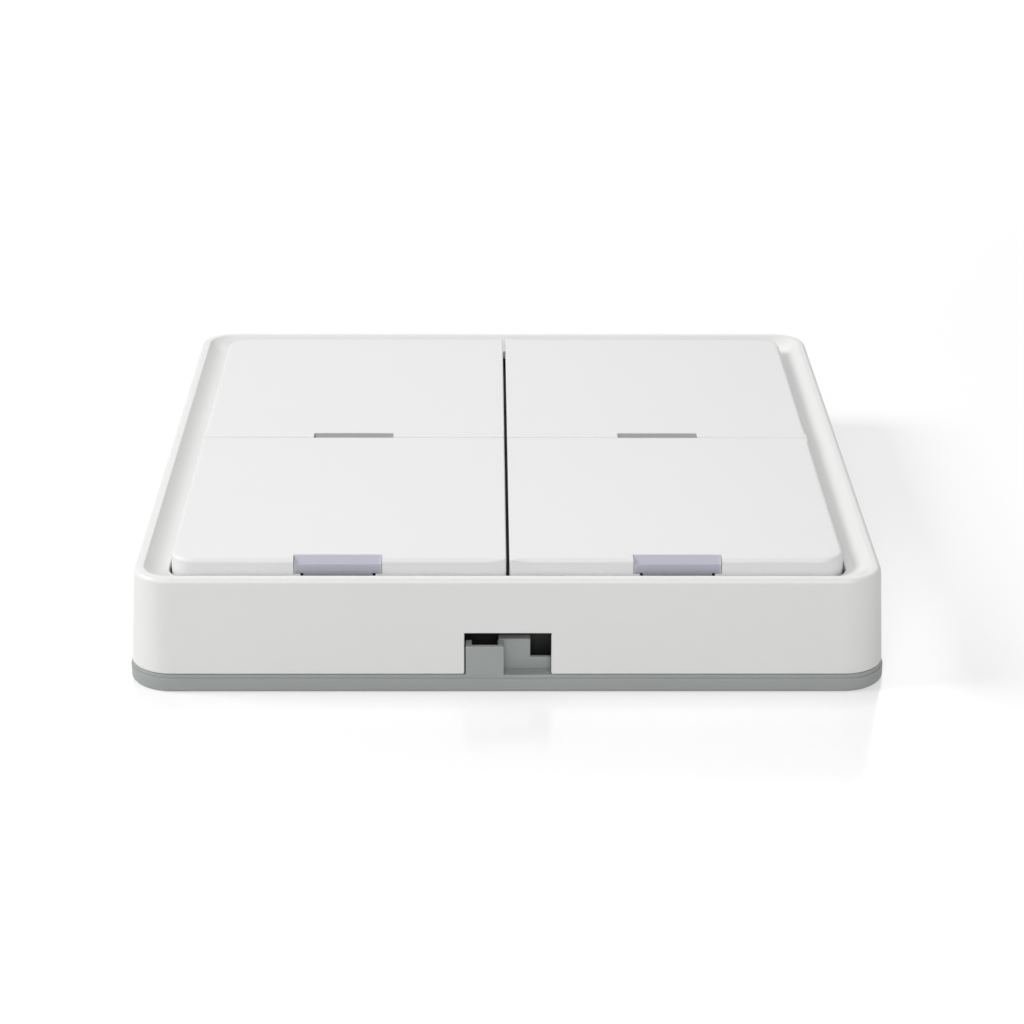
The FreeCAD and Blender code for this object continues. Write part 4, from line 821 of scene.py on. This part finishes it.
class Paint:
    """A material while its nodes are being laid out."""

    def __init__(self, name):
        self.name = name
        self.material = bpy.data.materials.new(name)
        self.material.use_nodes = True
        self.tree = self.material.node_tree
        self.tree.nodes.clear()
        self.place = self.node("ShaderNodeTexCoord", {}, {}).out("Object")

    def node(self, kind, settings, inputs):
        """A node of that type. Its settings come first, because they decide which sockets it has."""
        made = self.tree.nodes.new(kind)
        stops = settings.pop("stops", None)
        for key, value in settings.items():
            setattr(made, key, value)
        if stops:
            while len(made.color_ramp.elements) < len(stops):
                made.color_ramp.elements.new(0.5)
            for element, (position, colour) in zip(made.color_ramp.elements, stops):
                element.position = position
                element.color = (*colour, 1)
        for key, value in inputs.items():
            sockets = [s for s in made.inputs if s.enabled]
            socket = sockets[key] if isinstance(key, int) else next(s for s in sockets if s.name == key)
            if isinstance(value, Wire):
                self.tree.links.new(value.socket, socket)
            elif socket.type == "RGBA" and len(value) == 3:
                socket.default_value = (*value, 1)
            else:
                socket.default_value = value
        ready = [socket for socket in made.outputs if socket.enabled]
        return Wire(self, ready[0]) if ready else None

    def noise(self, scale, detail=2.0, place=None, roughness=0.5):
        """A soft random value about 0.5, with that many cells in a metre."""
        return self.node("ShaderNodeTexNoise", {}, {"Vector": place or self.place, "Scale": scale,
                                                   "Detail": detail, "Roughness": roughness})

    def mix(self, factor, first, second):
        return self.node("ShaderNodeMix", {"data_type": "RGBA"},
                         {"Factor": factor, "A": first, "B": second})

    def bump(self, height, distance):
        """A bump of that real depth, in metres."""
        return self.node("ShaderNodeBump", {}, {"Height": height, "Distance": distance}).out("Normal")

    def coordinate(self, axis):
        return self.node("ShaderNodeSeparateXYZ", {}, {"Vector": self.place}).out(axis)

    def stretched(self, scale):
        """The place with each axis multiplied, which draws a pattern out along the small ones."""
        return self.node("ShaderNodeMapping", {}, {"Vector": self.place, "Scale": scale})

    def done(self, **sockets):
        """Closes the material with the Principled shader and files it under its name. Socket names are
        written with _ for a space."""
        inputs = {key.replace("_", " "): value for key, value in sockets.items()}
        shader = self.node("ShaderNodeBsdfPrincipled", {}, inputs)
        self.node("ShaderNodeOutputMaterial", {}, {"Surface": shader})
        paints[self.name] = self.material


def linear(*levels):
    """Screen levels from 0 to 255 as the linear values that shaders want."""
    share = np.asarray(levels, float) / 255
    return tuple(np.where(share <= 0.04045, share / 12.92, ((share + 0.055) / 1.055) ** 2.4))


print("white 236 is", round(linear(236)[0], 3), "in linear light")

# %% [markdown]
# ## White plastics
# The frame and the keys are the same white, moulded in slightly different textures. A mould is
# eroded by sparks, which leaves grains of about a tenth of a millimetre: too fine to see one by one
# here, but they widen every highlight. Bump is only for such grains. Larger than that, a very faint
# cloud in colour and roughness keeps the big flats from looking computed.

# %% Moulded plastics
def moulded(name, colour, roughness, grain, depth, spread=0.012, coat=0.0):
    """Plastic with grains of the size grain and the depth, both in metres, and a faint cloud."""
    paint = Paint(name)
    fine = paint.noise(1 / grain, 3.0)
    cloud = paint.noise(45.0, 3.0)
    darker = tuple(level * (1 - 2 * spread) for level in colour)
    tint = paint.mix((cloud * 1.6 - 0.3).clamp(), darker, colour)
    paint.done(Base_Color=tint, Roughness=roughness + 0.06 * (fine - 0.5) + 0.05 * (cloud - 0.5),
               Normal=paint.bump(fine, depth), Coat_Weight=coat, IOR=1.5)


moulded("white_shell", linear(236, 236, 235), 0.36, 0.00011, 0.0000035)
moulded("key_plastic", linear(236, 236, 236), 0.40, 0.00009, 0.000003)
moulded("grey_plastic", linear(164, 168, 166), 0.52, 0.00014, 0.00001, 0.03)
# The dark plastics inside the switch are near black: partly their own colour, and partly painted shade that
# keeps the deep hollow behind the notch black.
moulded("carrier_plastic", linear(22, 22, 22), 0.5, 0.00012, 0.000008, 0.1)
moulded("dark_plastic", linear(24, 24, 25), 0.55, 0.00015, 0.00001, 0.1)
moulded("holder_plastic", linear(30, 30, 33), 0.48, 0.00012, 0.000006, 0.1)
moulded("tact_plastic", linear(26, 26, 26), 0.42, 0.0001, 0.000004, 0.1)
moulded("plunger_plastic", linear(196, 188, 170), 0.4, 0.0001, 0.000004)
print(", ".join(paints))

# %% [markdown]
# ## The milky windows
# The light guides are cast in a milky plastic, so that the whole window glows when the lamp behind
# it is on. With the lamp off they look blue-grey, palest along the top, where daylight enters, and
# darker towards the foot, where less of it comes back out. Real scattering inside such a small bar
# would cost time and be lost in the exported model, so light and shade are painted into the colour
# instead: it follows the height, with painted light along the top and painted shade towards the
# foot. At the two ends more light comes in, and a paler line is painted there as a painted
# highlight. The windows of the upper row look out on the edge of the keys below them and not on the
# room, so they are painted greyer and darker, which is painted shade.

# %% Milky plastic
# Blue-grey of the milky plastic, with painted shade towards the foot and painted light towards the top.
WINDOW_COLOUR_AND_SHADE_STOPS = [(0.0, linear(114, 118, 122)), (0.35, linear(145, 149, 157)),
                (0.8, linear(188, 188, 203)), (0.97, linear(192, 192, 204))]
# Painted highlight: a pale band close to each end of a window.
PALE_END, PALE_FADE, PAINTED_HIGHLIGHT_SHARE = 0.35, 0.2, 0.6
# Painted shade: grey mixed over the windows of the upper row.
UPPER_FROM, UPPER_PAINTED_SHADE_SHARE = -10.0, 0.85


def milky():
    """Painted light and shade: colour by height, lighter at the top and darker at the foot, mixed with a
    pale one close to either end of a window as a painted highlight, and with grey in the upper row as
    painted shade, where y is over UPPER_FROM."""
    paint = Paint("light_guide")
    high = box_mm("light_guide_upper_left")[1][2]
    level = (paint.coordinate("Z") * METRE - KEY_FOOT) / (high - KEY_FOOT)
    shade = paint.node("ShaderNodeValToRGB", {"stops": WINDOW_COLOUR_AND_SHADE_STOPS}, {"Fac": level})
    off_middle = (paint.coordinate("X").size() * METRE - KEY_PLACE[0]).size()
    end = ((off_middle - (WINDOW_HALF - PALE_END)) / PALE_FADE).clamp()
    # Painted highlight: the pale colour mixed in at the two ends of a window.
    tint = paint.mix(end * PAINTED_HIGHLIGHT_SHARE, shade, linear(202, 203, 204))
    upper_row_shade = (paint.coordinate("Y") * METRE - UPPER_FROM).clamp()
    # Painted shade: the upper row's windows made greyer and darker.
    tint = paint.mix(upper_row_shade * UPPER_PAINTED_SHADE_SHARE, tint, linear(152, 152, 152))
    cloud = paint.noise(2500.0)
    paint.done(Base_Color=tint, Roughness=0.3 + 0.03 * cloud, IOR=1.49,
               Normal=paint.bump(cloud, 0.0000006))


milky()

# %% [markdown]
# ## Board, lamps and tape
# A circuit board is glass laminate under a coat of coloured lacquer. Copper tracks under the coat
# show as paler lines and end in small round pads. A brick pattern gives long runs that step from
# one lane to the next, which is how tracks look from arm's length, and the pads are cells of a
# Voronoi pattern, cut at a small distance from their middles. The lamps are drops of resin, the
# tape is foam, whose cut cells are the only thing that shows, and the chips are plain and dark.

# %% Lacquered boards
def lacquered(name, coat, track):
    """Lanes of a brick pattern as tracks and the cells' middles of a Voronoi pattern as pads."""
    paint = Paint(name)
    tracks = paint.node("ShaderNodeTexBrick", {"offset": 0.37},
                        {"Vector": paint.place, "Scale": 160.0, "Mortar Size": 0.035,
                         "Mortar Smooth": 0.3, "Brick Width": 1.7, "Row Height": 0.24}).out("Fac")
    spots = paint.node("ShaderNodeTexVoronoi", {}, {"Vector": paint.place, "Scale": 210.0,
                                                   "Randomness": 0.8})
    pads = 1 - ((spots.out("Distance") - 0.11) / 0.03).clamp()
    cloud = paint.noise(120.0, 3.0)
    base = paint.mix(tracks, coat, track)
    base = paint.mix(cloud * 0.25, base, linear(0, 0, 0))
    tint = paint.mix(pads * 0.8, base, linear(196, 176, 120))
    relief = tracks * 0.6 + pads * 0.4
    paint.done(Base_Color=tint, Roughness=0.3 + 0.15 * cloud, Coat_Weight=0.3,
               Normal=paint.bump(relief, 0.00003))


lacquered("board_laminate", linear(14, 74, 44), linear(40, 118, 70))
lacquered("module_laminate", linear(12, 40, 78), linear(34, 78, 128))

# %% Chips, lamps and foam
moulded("chip_ceramic", linear(34, 34, 36), 0.35, 0.00012, 0.000006, 0.12)
moulded("lamp_resin", linear(226, 220, 176), 0.22, 0.0003, 0.000008, 0.03, 0.4)


def foam():
    """Closed cells, cut open: Voronoi distance as pits, with painted shade that darkens the colour
    towards the bottom of each pit, and a faint cloud of tone.
    """
    paint = Paint("foam_tape")
    cells = paint.node("ShaderNodeTexVoronoi", {}, {"Vector": paint.place, "Scale": 2600.0})
    pit = cells.out("Distance")
    cloud = paint.noise(90.0, 3.0)
    # Painted shade: darker towards the bottom of each pit, plus a faint random cloud of tone.
    tint = paint.mix((1 - pit) * 0.5 + cloud * 0.2, linear(230, 229, 224), linear(206, 205, 200))
    paint.done(Base_Color=tint, Roughness=0.82 + 0.1 * pit, Normal=paint.bump(pit, 0.00006))


foam()

# %% [markdown]
# ## Metals
# There are three kinds in here. Rolled strip and drawn sheet carry fine scratches along the way they
# were rolled, so a noise is stretched along that axis. Turned and spun faces, such as the coin
# cell's, carry rings, so there the noise runs over the distance from the axis. Plated and tinned
# leads have no direction at all, only soft blotches.

# %% Strip, sheet and plating
def metal(name, colour, roughness, stretch, blotch=0.15):
    """Scratches from a noise whose axes are multiplied by stretch, and blotches of a slightly
    darker tone."""
    paint = Paint(name)
    scratches = paint.noise(1.0, 4.0, paint.stretched(stretch), 0.65)
    cloud = paint.noise(260.0, 3.0)
    dull = tuple(0.72 * level for level in colour)
    tint = paint.mix(blotch + 0.5 * (cloud - 0.35).clamp(), colour, dull)
    paint.done(Base_Color=tint, Metallic=1.0, Normal=paint.bump(scratches, 0.000006),
               Roughness=roughness + 0.16 * (scratches - 0.5) + 0.1 * (cloud - 0.5))


ALONG_X, ALONG_Y, EVEN = (220.0, 9000.0, 9000.0), (9000.0, 220.0, 9000.0), (2600.0,) * 3
metal("sheet_steel", linear(201, 202, 204), 0.34, ALONG_X)
metal("contact_metal", linear(206, 202, 194), 0.28, ALONG_Y)
metal("tinned_metal", linear(208, 208, 208), 0.36, EVEN, 0.3)
metal("screw_steel", linear(158, 161, 166), 0.34, EVEN, 0.2)
metal("gold_plating", linear(232, 186, 98), 0.26, ALONG_X, 0.1)

# %% Spun steel of the coin cell
def spun():
    """Rings: the noise reads (distance from the axis, height), each times a count per metre."""
    paint = Paint("cell_steel")
    x, y = paint.coordinate("X"), paint.coordinate("Y")
    reach = (x * x + y * y) ** 0.5
    height = paint.coordinate("Z")
    lane = paint.node("ShaderNodeCombineXYZ", {}, {"X": reach * 7000.0, "Y": height * 2500.0})
    rings = paint.noise(1.0, 3.0, lane, 0.6)
    cloud = paint.noise(160.0, 3.0)
    tint = paint.mix(0.2 + 0.4 * cloud, linear(210, 210, 211), linear(182, 183, 186))
    paint.done(Base_Color=tint, Metallic=1.0, Normal=paint.bump(rings, 0.000008),
               Roughness=0.26 + 0.14 * rings + 0.06 * cloud)


spun()
print(len(paints), "finishes")

# %% [markdown]
# ## Putting the finishes on
# The record names the finish of each node, so no list is kept here. A node of the solid model takes
# the material on its object, which leaves its mesh alone. A new piece carries it in its mesh.

# %% Assign the materials
finish_of = {part["node"]: part["material_slot"] for part in frame["record"]["subparts"]}
for node, solid in frame["nodes"].items():
    for place in solid.material_slots:
        place.link = "OBJECT"
        place.material = paints[finish_of[node]]
for piece in pieces:
    piece.data.materials.clear()
    piece.data.materials.append(paints[piece["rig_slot"]])
print("finishes on", len(frame["nodes"]), "nodes and", len(pieces), "pieces")

# %% [markdown]
# ## A white table
# The switch lies on its back on a white table. The table has to look white all the way to the top
# of the picture and still take a soft shadow, so its colour is a pale grey, and a little light of
# its own lifts that to white. Only rays from the camera and mirror-like ones see that light, so it
# never brightens the switch. The table is polished: in the photo the front wall shows again below
# the switch, very faint and softer the farther it is from the edge.

# %% Table
def seen_rays(tree):
    """1 for rays from the camera, off glossy surfaces or through clear ones, and 0 for all others."""
    path = tree.nodes.new("ShaderNodeLightPath")
    seen = path.outputs["Is Camera Ray"]
    for name in ("Is Glossy Ray", "Is Transmission Ray"):
        either = tree.nodes.new("ShaderNodeMath")
        either.operation = "MAXIMUM"
        tree.links.new(seen, either.inputs[0])
        tree.links.new(path.outputs[name], either.inputs[1])
        seen = either.outputs[0]
    return seen


TABLE_HALF, TABLE_THICK, TABLE_SHADE, TABLE_GLOW = 4000.0, 10.0, 0.66, 0.38
table = box((-TABLE_HALF, -TABLE_HALF, -TABLE_THICK), (TABLE_HALF, TABLE_HALF, 0), "table")
table.data.transform(Matrix.Scale(1 / METRE, 4))
polish = Paint("white_table")
glow = Wire(polish, seen_rays(polish.tree)) * TABLE_GLOW
polish.done(Base_Color=(TABLE_SHADE,) * 3, Roughness=0.13 + 0.03 * polish.noise(30.0),
            Emission_Color=(1.0, 1.0, 1.0), Emission_Strength=glow)
table.data.materials.append(polish.material)
print("table", round(2 * TABLE_HALF / METRE, 1), "m wide")

# %% [markdown]
# ## Light
# The keys show no hard shadow, yet the left side of the cove is dark and the right side bright, and
# a soft shadow falls to the right. So the main lamp is wide and stands on the left. A wider one in
# front lights the front wall and the crest above it, and two weak ones, behind and on the right,
# keep those sides from going dull. Each lamp was rendered alone once, and their shares were fitted
# to the tones in the photo. The room is the world: an even white that fills the shadows, and which
# the camera sees as plain white.

# %% The room
ROOM = 0.22
world = bpy.data.worlds.new("room")
bpy.context.scene.world = world
world.use_nodes = True
tree = world.node_tree
tree.nodes.clear()
room = tree.nodes.new("ShaderNodeMixShader")
for index, strength in ((1, ROOM), (2, 1.0)):
    walls = tree.nodes.new("ShaderNodeBackground")
    walls.inputs["Strength"].default_value = strength
    walls.inputs["Color"].default_value = (1, 1, 1, 1)
    tree.links.new(walls.outputs[0], room.inputs[index])
tree.links.new(seen_rays(tree), room.inputs[0])
tree.links.new(room.outputs[0], tree.nodes.new("ShaderNodeOutputWorld").inputs[0])


# %% Lamps
def area_lamp(name, place, size, power):
    """A square lamp at the place, turned to the switch, with its place and size in metres."""
    light = bpy.data.lights.new(name, "AREA")
    light.size = size
    light.energy = power
    lamp = bpy.data.objects.new(name, light)
    lamp.location = place
    lamp.rotation_euler = (-Vector(place)).to_track_quat("-Z", "Y").to_euler()
    bpy.context.scene.collection.objects.link(lamp)
    print(name, power, "W")


area_lamp("left_lamp", (-0.575, 0.0, 0.48), 0.3, 3.2)
area_lamp("front_lamp", (0.0, -0.635, 0.4), 0.5, 2.3)
area_lamp("rear_lamp", (0.0, 0.575, 0.48), 0.4, 0.85)
area_lamp("right_lamp", (0.615, 0.0, 0.43), 0.5, 0.25)

# %% [markdown]
# ## Camera
# The photo was taken from the side of the notch, from about 30 cm away and 13 cm above the table.
# Straight edges of the frame and of the plate, of known length, fix where the camera stood, how far
# down it looked and its small turn and roll.

# %% Camera
PLACE = Vector((-2.365, -302.48, 132.06)) / METRE
DOWN, TURN, ROLL = math.radians(22.964), math.radians(0.6075), math.radians(0.2646)
forward = Vector((math.sin(TURN) * math.cos(DOWN), math.cos(TURN) * math.cos(DOWN), -math.sin(DOWN)))
level = Vector((math.cos(TURN), -math.sin(TURN), 0))
upward = level.cross(forward)
right = level * math.cos(ROLL) + upward * math.sin(ROLL)
up = upward * math.cos(ROLL) - level * math.sin(ROLL)
lens = bpy.data.cameras.new("photo_lens")
lens.lens = 90.33
lens.sensor_width = 36.0
lens.clip_start = 0.01
camera = bpy.data.objects.new("photo_camera", lens)
camera.matrix_world = Matrix.Translation(PLACE) @ Matrix((right, up, -forward)).transposed().to_4x4()
bpy.context.scene.collection.objects.link(camera)
bpy.context.scene.camera = camera
bpy.context.scene.view_settings.view_transform = "Standard"
print("camera", round(PLACE.length, 3), "m from the switch")
